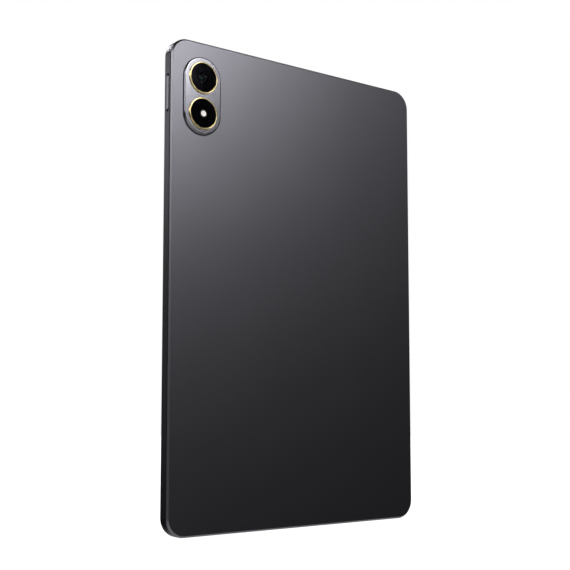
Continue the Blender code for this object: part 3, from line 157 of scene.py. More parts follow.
class StudioSettings(PropertyGroup):
    """Where the camera stands, and how it is set."""
    camera_place: FloatVectorProperty(name="Camera place", description="Camera's place", subtype="XYZ",
                                      unit="LENGTH", default=(-0.3636, -0.4783, 0.0735), precision=4)
    azimuth: FloatProperty(name="Azimuth", description="Turn of the view from +Y towards +X",
                           default=math.radians(36.50), subtype="ANGLE")
    pitch: FloatProperty(name="Pitch", description="Rise of the view above the horizon",
                         default=math.radians(5.12), subtype="ANGLE")
    lens: FloatProperty(name="Lens", description="Focal length in mm on a 36 mm sensor", default=62.98,
                        subtype="DISTANCE_CAMERA")
    shift_y: FloatProperty(name="Shift Y", description="Upward shift of the picture", default=0.05)


# ------------------------------------------------------------------ modelling helpers

def only(obj):
    """Makes one object the selected and active one."""
    bpy.ops.object.select_all(action="DESELECT")
    obj.select_set(True)
    bpy.context.view_layer.objects.active = obj


@contextmanager
def editing(obj):
    only(obj)
    bpy.ops.object.mode_set(mode="EDIT")
    yield
    bpy.ops.object.mode_set(mode="OBJECT")


def pick(obj, kind, test):
    """In edit mode, selects only the faces, edges or points that pass a test."""
    bpy.ops.mesh.select_mode(type=kind)
    bpy.ops.mesh.select_all(action="DESELECT")
    mesh = bmesh.from_edit_mesh(obj.data)
    mesh.normal_update()
    items = {"FACE": mesh.faces, "EDGE": mesh.edges, "VERT": mesh.verts}[kind]
    found = [item for item in items if test(item)]
    if not found:
        raise RuntimeError(f"{obj.name}: nothing to pick")
    for item in found:
        item.select_set(True)
    mesh.select_flush_mode()
    bmesh.update_edit_mesh(obj.data)


def weld(obj):
    """In edit mode, closes seams and turns every face outwards."""
    bpy.ops.mesh.select_all(action="SELECT")
    bpy.ops.mesh.remove_doubles(threshold=WELD)
    bpy.ops.mesh.normals_make_consistent(inside=False)


def end_of(axis, sign):
    """A test for the flat face that looks one way along an axis, and is furthest out that way."""
    def test(face):
        if face.normal[axis] * sign < 0.999:
            return False
        reach = max(vert.co[axis] * sign for vert in face.verts)
        return reach > test.reach - WELD
    test.reach = -math.inf
    return test


def pick_end(obj, axis, sign):
    """In edit mode, picks the outermost flat face along an axis."""
    mesh = bmesh.from_edit_mesh(obj.data)
    mesh.normal_update()
    test = end_of(axis, sign)
    faces = [face for face in mesh.faces if face.normal[axis] * sign > 0.999]
    test.reach = max(vert.co[axis] * sign for face in faces for vert in face.verts)
    pick(obj, "FACE", test)


def slab(name, low, high, radius, steps=8, axis=Y):
    """A box between two corners whose four edges along one axis are rounded."""
    low, high = Vector(low), Vector(high)
    bpy.ops.object.select_all(action="DESELECT")
    bpy.ops.mesh.primitive_cube_add(size=1, location=(low + high) / 2, scale=high - low)
    obj = bpy.context.object
    obj.name = obj.data.name = name
    bpy.ops.object.transform_apply(location=True, rotation=True, scale=True)
    with editing(obj):
        across = [side for side in (X, Y, Z) if side != axis]
        pick(obj, "EDGE", lambda edge: all(abs(edge.verts[0].co[side] - edge.verts[1].co[side]) < WELD
                                           for side in across))
        bpy.ops.mesh.bevel(offset_type="OFFSET", offset=radius, segments=steps, profile=0.5,
                           affect="EDGES", clamp_overlap=False)
        weld(obj)
    return obj


def follow(obj, axis, sign, path):
    """Carries the end face of a piece along a profile. Each point is how far in from the outline and
    how far out along the axis it lies, counted from where the face is."""
    with editing(obj):
        pick_end(obj, axis, sign)
        was_in, was_out = 0.0, 0.0
        for inward, outward in path:
            step_in, step_out = inward - was_in, outward - was_out
            if step_in > 0:
                bpy.ops.mesh.inset(thickness=step_in, depth=step_out, use_even_offset=True)
            else:
                move = [0.0, 0.0, 0.0]
                move[axis] = sign * step_out
                bpy.ops.mesh.extrude_region_move(TRANSFORM_OT_translate={"value": move})
            was_in, was_out = inward, outward


def quarter(width, height, steps=6):
    """A quarter round as a profile: it starts along the axis and ends flat."""
    turns = [math.pi / 2 * step / steps for step in range(1, steps + 1)]
    return [(width * (1 - math.cos(turn)), height * math.sin(turn)) for turn in turns]


def cylinder(name, centre, radius, length, axis=Y, steps=48):
    turn = {X: (0, math.pi / 2, 0), Y: (math.pi / 2, 0, 0), Z: (0, 0, 0)}[axis]
    bpy.ops.object.select_all(action="DESELECT")
    bpy.ops.mesh.primitive_cylinder_add(vertices=steps, radius=radius, depth=length, location=centre,
                                        rotation=turn)
    obj = bpy.context.object
    obj.name = obj.data.name = name
    bpy.ops.object.transform_apply(location=True, rotation=True, scale=True)
    return obj


def lathe(name, outline, centre, steps=96):
    """A closed outline of radius and Y, spun about an axis along Y through a centre."""
    bpy.ops.object.select_all(action="DESELECT")
    start = (centre.x + outline[0][0], outline[0][1], centre.z)
    bpy.ops.mesh.primitive_plane_add(size=MM, location=start)
    obj = bpy.context.object
    obj.name = obj.data.name = name
    bpy.ops.object.transform_apply(location=True, rotation=True, scale=True)
    with editing(obj):
        bpy.ops.mesh.select_mode(type="VERT")
        bpy.ops.mesh.select_all(action="SELECT")
        bpy.ops.mesh.merge(type="CENTER")
        corners = outline if outline[0][0] == 0 and outline[-1][0] == 0 else [*outline, outline[0]]
        for (radius, y), (next_radius, next_y) in zip(corners, corners[1:]):
            move = (next_radius - radius, next_y - y, 0)
            bpy.ops.mesh.extrude_region_move(TRANSFORM_OT_translate={"value": move})
        bpy.ops.mesh.select_all(action="SELECT")
        bpy.ops.mesh.spin(steps=steps, angle=math.tau, center=(centre.x, 0, centre.z), axis=(0, 1, 0))
        weld(obj)
    return obj


def together(name, pieces):
    """Several objects as one."""
    only(pieces[0])
    for piece in pieces[1:]:
        piece.select_set(True)
    bpy.ops.object.join()
    joined = bpy.context.object
    joined.name = joined.data.name = name
    return joined


def boolean(obj, tools, operation="DIFFERENCE"):
    """Cuts the tools out of a piece, or adds them to it."""
    tool = together(obj.name + "_tool", tools)
    only(obj)
    modifier = obj.modifiers.new("boolean", "BOOLEAN")
    modifier.operation = operation
    modifier.solver = "EXACT"
    modifier.object = tool
    bpy.ops.object.modifier_apply(modifier=modifier.name)
    bpy.data.objects.remove(tool, do_unlink=True)
    with editing(obj):
        weld(obj)


def soften(obj, low, high, width, steps=2, least=50):
    """Rounds the sharp edges that lie inside a box."""
    def inside(edge):
        if not edge.is_manifold or math.degrees(edge.calc_face_angle()) < least:
            return False
        return all(low[side] <= vert.co[side] <= high[side] for vert in edge.verts for side in (X, Y, Z))
    with editing(obj):
        pick(obj, "EDGE", inside)
        bpy.ops.mesh.bevel(offset_type="OFFSET", offset=width, segments=steps, profile=0.5,
                           affect="EDGES", clamp_overlap=True)


def finish(obj, finishes, stands_for, body="chassis", sharp=28):
    """Shades a piece, gives it its finishes, and ties it to the frame."""
    only(obj)
    bpy.ops.object.shade_smooth_by_angle(angle=math.radians(sharp))
    even = obj.modifiers.new("even_normals", "WEIGHTED_NORMAL")
    even.keep_sharp = True
    bpy.ops.object.modifier_apply(modifier=even.name)
    for material in finishes:
        obj.data.materials.append(material)
    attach(obj, body)
    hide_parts(*stands_for)


def paint(obj, index, test):
    """Gives a finish to the faces whose centre passes a test."""
    for face in obj.data.polygons:
        if test(face.center):
            face.material_index = index


# ------------------------------------------------------------------ finishes

def node(tree, kind, settings=None, links=None):
    """Adds a shader node. Settings are its own properties; links are values, or sockets to join."""
    made = tree.nodes.new("ShaderNode" + kind)
    for name, value in (settings or {}).items():
        setattr(made, name, value)
    for name, value in (links or {}).items():
        if isinstance(value, bpy.types.NodeSocket):
            tree.links.new(value, made.inputs[name])
        else:
            made.inputs[name].default_value = value
    return made


def blank(name, **values):
    """A material with one Principled shader, and the values that are the same all over it."""
    material = bpy.data.materials.new(name)
    material.use_nodes = True
    shader = material.node_tree.nodes["Principled BSDF"]
    for socket, value in values.items():
        socket = socket.replace("_", " ")
        shader.inputs[socket].default_value = (*value, 1) if isinstance(value, tuple) else value
    return material, material.node_tree, shader


def place_on(tree, centre=(0, 0, 0)):
    """Object coordinates counted from a centre."""
    coords = node(tree, "TexCoord")
    return node(tree, "Mapping", {}, {"Vector": coords.outputs["Object"],
                                      "Location": [-value for value in centre]}).outputs["Vector"]


def grain(tree, spot, width, detail=2.0, kind="3D"):
    """Noise whose lumps are about one width across."""
    return node(tree, "TexNoise", {"noise_dimensions": kind},
                {"Vector": spot, "Scale": 1 / width, "Detail": detail}).outputs["Fac"]


def between(tree, value, low, high, start=0.0, end=1.0):
    """Maps a value from start..end to low..high."""
    return node(tree, "MapRange", {}, {"Value": value, "From Min": start, "From Max": end,
                                       "To Min": low, "To Max": high}).outputs["Result"]


def relief(tree, shader, height, depth, strength=1.0):
    """Joins a height to the shader's normal; depth is its real size."""
    bump = node(tree, "Bump", {}, {"Height": height, "Distance": depth, "Strength": strength})
    tree.links.new(bump.outputs["Normal"], shader.inputs["Normal"])


def mixed(tree, share, first, second):
    """One colour passing into another by a share."""
    mix = node(tree, "Mix", {"data_type": "RGBA"}, {0: share, 6: (*first, 1), 7: (*second, 1)})
    return mix.outputs[2]


def shade(rgb, factor):
    return tuple(min(1.0, channel * factor) for channel in rgb)


def stripes(tree, spot, axis, pitch, sharpness=0.0):
    """Bands across one axis of X, Y or Z, one pitch apart, from 0 to 1."""
    apart = node(tree, "SeparateXYZ", {}, {0: spot}).outputs[axis]
    turns = node(tree, "Math", {"operation": "MULTIPLY"}, {0: apart, 1: math.tau / pitch}).outputs[0]
    wave = node(tree, "Math", {"operation": "SINE"}, {0: turns}).outputs[0]
    return between(tree, wave, 0, 1, -1 + sharpness, 1 - sharpness)


def anodised_aluminium(name, rgb, roughness, blast=0.22 * MM, depth=0.0012 * MM):
    """Bead-blasted, dyed and anodised aluminium: a smooth matte metal whose blast grain only shows close
    by, as a fine sparkle in the roughness, over a faint unevenness of the dye."""
    material, tree, shader = blank(name, Metallic=1.0)
    spot = place_on(tree)
    beads = grain(tree, spot, blast, 1.0)
    dye = grain(tree, spot, 60 * MM, 3.0)
    tree.links.new(mixed(tree, between(tree, dye, 0, 1, 0.35, 0.65), shade(rgb, 0.975), shade(rgb, 1.02)),
                   shader.inputs["Base Color"])
    tree.links.new(between(tree, beads, roughness - 0.03, roughness + 0.03, 0.3, 0.7),
                   shader.inputs["Roughness"])
    relief(tree, shader, beads, depth, 0.5)
    return material


def turned_gold(name, rgb, centre):
    """Aluminium turned on a lathe and dyed pale gold: concentric tool lines, bright on the cut edges."""
    material, tree, shader = blank(name, Metallic=1.0)
    spot = place_on(tree, centre)
    flat = node(tree, "VectorMath", {"operation": "MULTIPLY"}, {0: spot, 1: (1, 0, 1)}).outputs[0]
    radius = node(tree, "VectorMath", {"operation": "LENGTH"}, {0: flat}).outputs["Value"]
    lines = node(tree, "TexNoise", {"noise_dimensions": "1D"},
                 {"W": radius, "Scale": 1 / (0.05 * MM), "Detail": 1.0}).outputs["Fac"]
    tree.links.new(mixed(tree, lines, shade(rgb, 0.88), shade(rgb, 1.06)), shader.inputs["Base Color"])
    tree.links.new(between(tree, lines, 0.16, 0.30, 0.3, 0.7), shader.inputs["Roughness"])
    relief(tree, shader, lines, 0.002 * MM, 0.4)
    return material


def printed_glass(name, rgb, centre):
    """Hard lens glass printed black underneath and coated against glare: near black, with a violet cast
    in its reflections, and fine wipe marks that blur them a little."""
    material, tree, shader = blank(name, IOR=1.33, Specular_Tint=linear("#D6CFEA"))
    spot = place_on(tree, centre)
    marks = grain(tree, spot, 5 * MM, 4.0)
    tree.links.new(mixed(tree, marks, rgb, shade(rgb, 1.5)), shader.inputs["Base Color"])
    tree.links.new(between(tree, marks, 0.05, 0.11, 0.3, 0.7), shader.inputs["Roughness"])
    return material


def window_glass(name):
    """Clear polished glass over a lens: lets the barrel show, and reflects the studio."""
    material, tree, shader = blank(name, Base_Color=linear("#F2F4F7"), IOR=1.2, Roughness=0.0,
                                   Transmission_Weight=1.0)
    marks = grain(tree, place_on(tree), 2 * MM, 3.0)
    tree.links.new(between(tree, marks, 0.0, 0.03, 0.4, 0.8), shader.inputs["Roughness"])
    return material


def coated_lens(name):
    """A lens element with an anti-glare coating: black inside, green where it is seen square on and
    violet towards its rim."""
    material, tree, shader = blank(name, IOR=1.7, Roughness=0.02, Base_Color=linear("#030306"))
    facing = node(tree, "LayerWeight", {}, {"Blend": 0.35}).outputs["Facing"]
    tree.links.new(mixed(tree, facing, linear("#63C79A"), linear("#9A7BFF")), shader.inputs["Specular Tint"])
    return material


def screen_glass(name, rgb, view_low, view_high):
    """Chemically hardened cover glass over a dark screen: a mirror-black border printed underneath, a
    slightly warmer black where the screen lies, and faint smears in the gloss."""
    material, tree, shader = blank(name, IOR=1.52, Coat_Weight=0.2, Coat_Roughness=0.02)
    spot = place_on(tree)
    parts = node(tree, "SeparateXYZ", {}, {0: spot})
    inside = None
    for axis, low, high in (("X", view_low.x, view_high.x), ("Z", view_low.z, view_high.z)):
        for sign, edge in ((1, low), (-1, high)):
            side = between(tree, parts.outputs[axis], 0, 1, edge, edge + sign * 0.15 * MM)
            inside = side if inside is None else node(tree, "Math", {"operation": "MULTIPLY"},
                                                      {0: inside, 1: side}).outputs[0]
    tree.links.new(mixed(tree, inside, rgb, linear("#111115")), shader.inputs["Base Color"])
    smears = grain(tree, spot, 35 * MM, 5.0)
    tree.links.new(between(tree, smears, 0.03, 0.085, 0.4, 0.7), shader.inputs["Roughness"])
    return material


def moulded_plastic(name, rgb, roughness=0.5, texture=0.12 * MM):
    """Injection-moulded plastic with a fine spark-eroded texture: an even, soft gloss."""
    material, tree, shader = blank(name, IOR=1.46)
    bumps = grain(tree, place_on(tree), texture, 1.0)
    tree.links.new(mixed(tree, bumps, shade(rgb, 0.85), shade(rgb, 1.2)), shader.inputs["Base Color"])
    tree.links.new(between(tree, bumps, roughness - 0.06, roughness + 0.06, 0.3, 0.7),
                   shader.inputs["Roughness"])
    relief(tree, shader, bumps, 0.004 * MM, 0.5)
    return material


def milky_diffuser_painted_glow(name, rgb):
    """Milky polycarbonate over the flash: light sinks in and comes back softly, and a painted glow in its own
    white makes it shine though the flash is off.
    """
    # painted glow: the emission makes the white guide give out light of its own, though the flash is off
    material, tree, shader = blank(name, IOR=1.58, Subsurface_Weight=0.35, Subsurface_Scale=0.8 * MM,
                                   Emission_Color=rgb, Emission_Strength=0.5)
    cloud = grain(tree, place_on(tree), 0.9 * MM, 2.0)
    tree.links.new(mixed(tree, cloud, shade(rgb, 0.82), shade(rgb, 1.05)), shader.inputs["Base Color"])
    tree.links.new(between(tree, cloud, 0.18, 0.32), shader.inputs["Roughness"])
    return material


def pressed_metal(name, rgb, roughness, rolled=X):
    """Thin sheet pressed to shape: rolling lines along one axis, with a soft satin gloss."""
    material, tree, shader = blank(name, Metallic=1.0)
    stretch = [1.0, 1.0, 1.0]
    stretch[rolled] = 0.04
    spot = node(tree, "Mapping", {}, {"Vector": place_on(tree), "Scale": stretch}).outputs["Vector"]
    lines = grain(tree, spot, 0.25 * MM, 3.0)
    tree.links.new(mixed(tree, lines, shade(rgb, 0.85), shade(rgb, 1.08)), shader.inputs["Base Color"])
    tree.links.new(between(tree, lines, roughness - 0.08, roughness + 0.1, 0.3, 0.7),
                   shader.inputs["Roughness"])
    relief(tree, shader, lines, 0.004 * MM, 0.4)
    return material


def circuit_board(name, rgb):
    """Glass-epoxy board under solder mask: tracks in two directions stand a little proud and paler, and
    tinned pads break through."""
    material, tree, shader = blank(name, IOR=1.5, Coat_Weight=0.3, Coat_Roughness=0.2)
    spot = place_on(tree)
    pick_way = between(tree, grain(tree, spot, 7 * MM, 0.0), 0, 1, 0.49, 0.51)
    across = stripes(tree, spot, "X", 0.7 * MM, 0.7)
    along = stripes(tree, spot, "Z", 0.7 * MM, 0.7)
    tracks = node(tree, "Mix", {}, {0: pick_way, 2: across, 3: along}).outputs[0]
    cells = node(tree, "TexVoronoi", {"distance": "CHEBYCHEV"}, {"Vector": spot, "Scale": 1 / (2.4 * MM),
                                                                 "Randomness": 0.7})
    pads = between(tree, cells.outputs["Distance"], 1, 0, 0.14, 0.16)
    mask = mixed(tree, tracks, shade(rgb, 0.75), shade(rgb, 1.7))
    tin = node(tree, "Mix", {"data_type": "RGBA"}, {0: pads, 6: mask, 7: (*linear("#C9CBC8"), 1)})
    tree.links.new(tin.outputs[2], shader.inputs["Base Color"])
    tree.links.new(pads, shader.inputs["Metallic"])
    tree.links.new(between(tree, pads, 0.42, 0.28), shader.inputs["Roughness"])
    height = node(tree, "Math", {"operation": "ADD"}, {0: tracks, 1: pads}).outputs[0]
    relief(tree, shader, height, 0.03 * MM, 0.6)
    return material


def flexible_circuit(name, rgb, along=Z):
    """Amber polyimide film over copper lines: a glossy film with paler lines along its length."""
    material, tree, shader = blank(name, IOR=1.6, Coat_Weight=0.5, Coat_Roughness=0.12)
    across = "X" if along == Z else "Z"
    lines = stripes(tree, place_on(tree), across, 0.9 * MM, 0.6)
    tree.links.new(mixed(tree, lines, rgb, linear("#C98B46")), shader.inputs["Base Color"])
    tree.links.new(between(tree, lines, 0.0, 0.45), shader.inputs["Metallic"])
    tree.links.new(between(tree, lines, 0.38, 0.28), shader.inputs["Roughness"])
    relief(tree, shader, lines, 0.02 * MM, 0.5)
    return material


def pouch_foil(name, rgb):
    """Laminated foil round a battery cell: a dull dark film that puckers a little."""
    material, tree, shader = blank(name, Metallic=0.35, IOR=1.5)
    spot = place_on(tree)
    puckers = grain(tree, spot, 9 * MM, 4.0)
    tree.links.new(mixed(tree, puckers, shade(rgb, 0.8), shade(rgb, 1.25)), shader.inputs["Base Color"])
    tree.links.new(between(tree, puckers, 0.38, 0.56, 0.3, 0.7), shader.inputs["Roughness"])
    relief(tree, shader, puckers, 0.12 * MM, 0.6)
    return material


def woven_mesh(name, rgb, thread=0.22 * MM):
    """Woven dust mesh behind the sound slots, drawn coarser than its real threads so that it shows; the gaps
    between the threads are painted near black as painted shade of the hollow behind them.
    """
    material, tree, shader = blank(name, Metallic=0.6, Roughness=0.5)
    spot = place_on(tree)
    warp = stripes(tree, spot, "X", thread, 0.2)
    weft = stripes(tree, spot, "Y", thread, 0.2)
    threads = node(tree, "Math", {"operation": "MAXIMUM"}, {0: warp, 1: weft}).outputs[0]
    # painted shade: the gaps between the threads are coloured near black in place of the dark hollow seen
    # through them
    tree.links.new(mixed(tree, threads, linear("#020202"), rgb), shader.inputs["Base Color"])
    relief(tree, shader, threads, 0.05 * MM, 0.8)
    return material


def make_finishes(colours):
    """The finish of each material slot of the frame, and those that only new pieces use."""
    view_low, view_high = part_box("lcd_panel")
    steel = linear("#B9BABB")
    return {
        "anodised_aluminium": anodised_aluminium("anodised_aluminium", tuple(colours.anodised), 0.38),
        "satin_aluminium": anodised_aluminium("satin_aluminium", tuple(colours.satin), 0.21, 0.16 * MM,
                                              0.0004 * MM),
        "gold_ring": turned_gold("turned_gold", tuple(colours.gold), CAMERA),
        "flash_gold": turned_gold("turned_gold_flash", tuple(colours.gold), FLASH),
        "black_glass": printed_glass("printed_lens_glass", tuple(colours.ink), CAMERA),
        "flash_glass": printed_glass("printed_flash_glass", tuple(colours.ink), FLASH),
        "window": window_glass("clear_window_glass"),
        "coated_lens": coated_lens("coated_lens_element"),
        "screen_glass": screen_glass("hardened_cover_glass", tuple(colours.ink), view_low, view_high),
        "gasket": moulded_plastic("moulded_gasket", tuple(colours.rubber), 0.6),
        "black_plastic": moulded_plastic("black_polycarbonate", linear("#1A1A1C"), 0.45),
        "white_diffuser": milky_diffuser_painted_glow("milky_polycarbonate_painted_glow", tuple(colours.diffuser)),
        "yellow_phosphor": moulded_plastic("phosphor_gel", linear("#E3C64B"), 0.35, 0.05 * MM),
        "steel": pressed_metal("pressed_stainless_steel", steel, 0.34, Z),
        "copper": pressed_metal("rolled_copper_foil", linear("#D98F6A"), 0.32, X),
        "board_green": circuit_board("solder_mask_board", linear("#0E3F2C")),
        "flex_amber": flexible_circuit("amber_polyimide_film", linear("#8A4E14")),
        "battery_pouch": pouch_foil("battery_pouch_foil", linear("#4A4A4E")),
        "panel_grey": moulded_plastic("screen_polariser", linear("#1C1D22"), 0.25, 0.4 * MM),
        "reflector_white": moulded_plastic("white_reflector_film", linear("#DCDDE0"), 0.3, 0.6 * MM),
        "chip_black": moulded_plastic("black_epoxy", linear("#141416"), 0.5, 0.08 * MM),
        "baffle": moulded_plastic("blackened_baffle", linear("#060607"), 0.7, 0.05 * MM),
        "mesh_black": woven_mesh("woven_dust_mesh", linear("#2C2C2E")),
        "contact_gold": pressed_metal("plated_contact", linear("#E8C277"), 0.22, Z),
    }


FINISHES = {}


# ------------------------------------------------------------------ the pieces

def capsule(name, centre, along, length, width, axis, depth, steps=16):
    """A bar with half-round ends: so long and wide, and so deep along an axis."""
    half = [width / 2] * 3
    half[along] = length / 2
    half[axis] = depth / 2
    low = [centre[side] - half[side] for side in (X, Y, Z)]
    high = [centre[side] + half[side] for side in (X, Y, Z)]
    return slab(name, low, high, width / 2 - SLIVER, steps, axis)


class MixFinishes(Operator):
    """Mixes the finishes, and gives each CAD piece that stays its own."""
    bl_idname = "tablet.mix_finishes"
    bl_label = "Finishes"

    def execute(self, context):
        FINISHES.clear()
        FINISHES.update(make_finishes(context.scene.tablet_colours))
        for part in frame["record"]["subparts"]:
            mesh = frame["nodes"][part["node"]].data
            mesh.materials.clear()
            mesh.materials.append(FINISHES[part["material_slot"]])
        return {"FINISHED"}


class MakeHousing(Operator):
    """Rear housing: a tray milled from one block, with a curved side that ends in a cut bevel"""
    bl_idname = "tablet.make_housing"
    bl_label = "Rear housing"

    def execute(self, context):
        sizes = context.scene.tablet_sizes
        band = sizes.back_chamfer + sizes.edge_depth
        housing = slab("housing_tray", (HOUSING_LOW.x, BACK + band, HOUSING_LOW.z),
                       (HOUSING_HIGH.x, RIM_FRONT - sizes.rim_edge, HOUSING_HIGH.z), sizes.corner_radius, 28)
        turns = [step / 10 for step in range(1, 11)]
        curve = [(sizes.edge_inset * turn ** 2, sizes.edge_depth * turn) for turn in turns]
        follow(housing, Y, -1, [*curve, (sizes.edge_inset + sizes.back_chamfer, band)])
        ledge = GASKET_LOW.y - 0.1 * MM - (RIM_FRONT - sizes.rim_edge)
        floor = BACK + sizes.floor - (RIM_FRONT - sizes.rim_edge)
        follow(housing, Y, 1, [*quarter(sizes.rim_edge, sizes.rim_edge, 4), (sizes.rim, sizes.rim_edge),
                               (sizes.rim, ledge), (sizes.wall, ledge), (sizes.wall, floor)])
        soften(housing, HOUSING_LOW - Vector((1, 1, 1)), (1, BACK + band - 0.1 * MM, 1), 0.07 * MM, 3, 12)
        self.add_bosses(housing, sizes)
        self.open_island(housing, sizes)
        self.open_sides(housing, sizes)
        self.round_mouths(housing)
        finish(housing, [FINISHES["anodised_aluminium"]], ["rear_housing"])
        return {"FINISHED"}

    def add_bosses(self, housing, sizes):
        bosses, holes = [], []
        for number in range(1, 7):
            screw = middle(f"plate_screw_{number}")
            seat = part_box("mid_plate")[0].y - 0.25 * MM
            floor = BACK + sizes.floor / 2
            height = seat - floor
            centre = Vector((screw.x, floor + height / 2, screw.z))
            bosses.append(cylinder("boss", centre, 2.1 * MM, height, Y, 32))
            tip = BACK + sizes.floor + 0.5 * MM
            centre = Vector((screw.x, (tip + seat + MM) / 2, screw.z))
            holes.append(cylinder("hole", centre, 0.85 * MM, seat + MM - tip, Y, 24))
        boolean(housing, bosses, "UNION")
        boolean(housing, holes)

    def open_island(self, housing, sizes):
        fit = 0.12 * MM - sizes.island_flange
        low = (ISLAND_LOW.x - fit, BACK - MM, ISLAND_LOW.z - fit)
        high = (ISLAND_HIGH.x + fit, BACK + sizes.floor + MM, ISLAND_HIGH.z + fit)
        boolean(housing, [slab("opening", low, high, (high[X] - low[X]) / 2 - SLIVER, 40)])

    def open_sides(self, housing, sizes):
        through = sizes.wall + 2 * MM
        left, right = HOUSING_LOW.x + sizes.wall / 2, HOUSING_HIGH.x - sizes.wall / 2
        bottom, top = HOUSING_LOW.z + sizes.wall / 2, HOUSING_HIGH.z - sizes.wall / 2
        volume, power, tray = middle("volume_key"), middle("power_key"), middle("card_tray")
        port, mic = middle("usb_shell"), middle("bottom_microphone")
        side_mic = middle("side_microphone")
        port_size = PORT_HIGH - PORT_LOW
        fit = 0.2 * MM
        tools = [
            capsule("volume_slot", (left, volume.y, volume.z), Z, 22.0 * MM, 2.5 * MM, X, through),
            capsule("power_slot", (power.x, power.y, top), X, 13.6 * MM, 2.5 * MM, Z, through),
            slab("tray_slot", (right - through / 2, tray.y - 0.75 * MM, tray.z - 6.8 * MM),
                 (right + through / 2, tray.y + 0.75 * MM, tray.z + 6.8 * MM), 0.3 * MM, 4, X),
            capsule("port", (port.x, port.y, bottom), X, port_size.x + 2 * fit, port_size.y + 2 * fit, Z,
                    through),
            cylinder("bottom_microphone_hole", Vector((mic.x, mic.y, bottom)), 0.45 * MM, through, Z, 24),
            cylinder("side_microphone_hole", Vector((left, side_mic.y, side_mic.z)), 0.45 * MM, through, X,
                     24),
            cylinder("eject_hole", Vector((right, tray.y, tray.z - 11 * MM)), 0.5 * MM, through, X, 24),
        ]
        first = (sizes.slots_per_row - 1) / 2
        rows = [(node, bottom) for node in ("dust_mesh_bottom_left", "dust_mesh_bottom_right")]
        for mesh, height in (*rows, ("dust_mesh_top", top)):
            place = middle(mesh)
            for side in (1, -1) if height == top else (1,):
                for number in range(sizes.slots_per_row):
                    x = side * place.x + (number - first) * sizes.slot_pitch
                    tools.append(capsule("slot", (x, place.y, height), X, sizes.slot_length,
                                         sizes.slot_width, Z, through, 8))
        boolean(housing, tools)
        face = HOUSING_HIGH.x - sizes.tray_face - 0.1 * MM
        boolean(housing, [capsule("tray_recess", ((face + right + through / 2) / 2, tray.y, tray.z), Z,
                                  15.4 * MM, 2.4 * MM, X, right + through / 2 - face)])

    def round_mouths(self, housing):
        skin = 0.02 * MM
        low, high = HOUSING_LOW, HOUSING_HIGH
        for axis, place in ((X, low.x), (X, high.x), (Z, low.z), (Z, high.z)):
            start, end = [-1.0] * 3, [1.0] * 3
            start[axis], end[axis] = place - skin, place + skin
            start[Y] = BACK + 2.3 * MM
            soften(housing, start, end, 0.1 * MM)


class MakeIsland(Operator):
    """Camera island: a satin capsule with a rounded edge, two ring seats and a flange behind the back"""
    bl_idname = "tablet.make_island"
    bl_label = "Camera island"

    def execute(self, context):
        sizes = context.scene.tablet_sizes
        foot, top = ISLAND_HIGH.y, ISLAND_LOW.y
        flange_front = foot - 0.45 * MM
        low = (ISLAND_LOW.x, flange_front, ISLAND_LOW.z)
        high = (ISLAND_HIGH.x, foot, ISLAND_HIGH.z)
        island = slab("camera_island_cap", low, high, (high[X] - low[X]) / 2 - SLIVER, 48)
        wall = flange_front - (top + sizes.island_round)
        edge = [(sizes.island_flange + inward, wall + outward)
                for inward, outward in quarter(sizes.island_round, sizes.island_round, 8)]
        follow(island, Y, -1, [(sizes.island_flange, 0), (sizes.island_flange, wall), *edge])
        seat = 0.5 * MM
        seats = [cylinder("seat", Vector((place.x, top, place.z)), 9.42 * MM, 2 * seat, Y, 96)
                 for place in (CAMERA, FLASH)]
        boolean(island, seats)
        bores = [cylinder("bore", Vector((place.x, (top + foot) / 2, place.z)), radius, 6 * MM, Y, 64)
                 for place, radius in ((CAMERA, 3.8 * MM), (FLASH, 3.5 * MM))]
        boolean(island, bores)
        camera_low, camera_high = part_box("rear_camera_body")
        room = Vector((1, 1, 1)) * 0.3 * MM
        boolean(island, [slab("camera_room", camera_low - room, camera_high + room, 0.9 * MM, 6)])
        soften(island, (-1, top - 0.02 * MM, -1), (1, top + 0.02 * MM, 1), 0.08 * MM, 2, 50)
        finish(island, [FINISHES["satin_aluminium"]], ["camera_island"])
        return {"FINISHED"}


class MakeRings(Operator):
    """The two turned rings: a bevelled foot, a narrow wall and a cut top edge"""
    bl_idname = "tablet.make_rings"
    bl_label = "Camera rings"

    def execute(self, context):
        sizes = context.scene.tablet_sizes
        outer = (RING_HIGH.x - RING_LOW.x) / 2
        inner = outer - sizes.ring_wall
        opening = inner - 1.7 * MM
        foot, top = RING_HIGH.y, RING_LOW.y
        shelf = COVER_HIGH.y + 0.1 * MM
        base = ISLAND_LOW.y - 0.05 * MM
        step = sizes.ring_foot
        cut = 0.10 * MM
        outline = [
            (opening, foot), (outer, foot), (outer, base), (outer - step, base - step),
            (outer - step, top + cut), (outer - step - 0.3 * cut, top + 0.3 * cut), (outer - step - cut, top),
            (inner + cut, top), (inner, top + cut), (inner, shelf), (opening, shelf),
        ]
        for place, name, stands_for, gold in ((CAMERA, "camera_turned_ring", "camera_ring", "gold_ring"),
                                              (FLASH, "flash_turned_ring", "flash_ring", "flash_gold")):
            ring = lathe(name, outline, place, 128)
            soften(ring, (-1, -1, -1), (1, base - 0.01 * MM, 1), 0.03 * MM, 2, 30)
            finish(ring, [FINISHES[gold]], [stands_for])
        return {"FINISHED"}


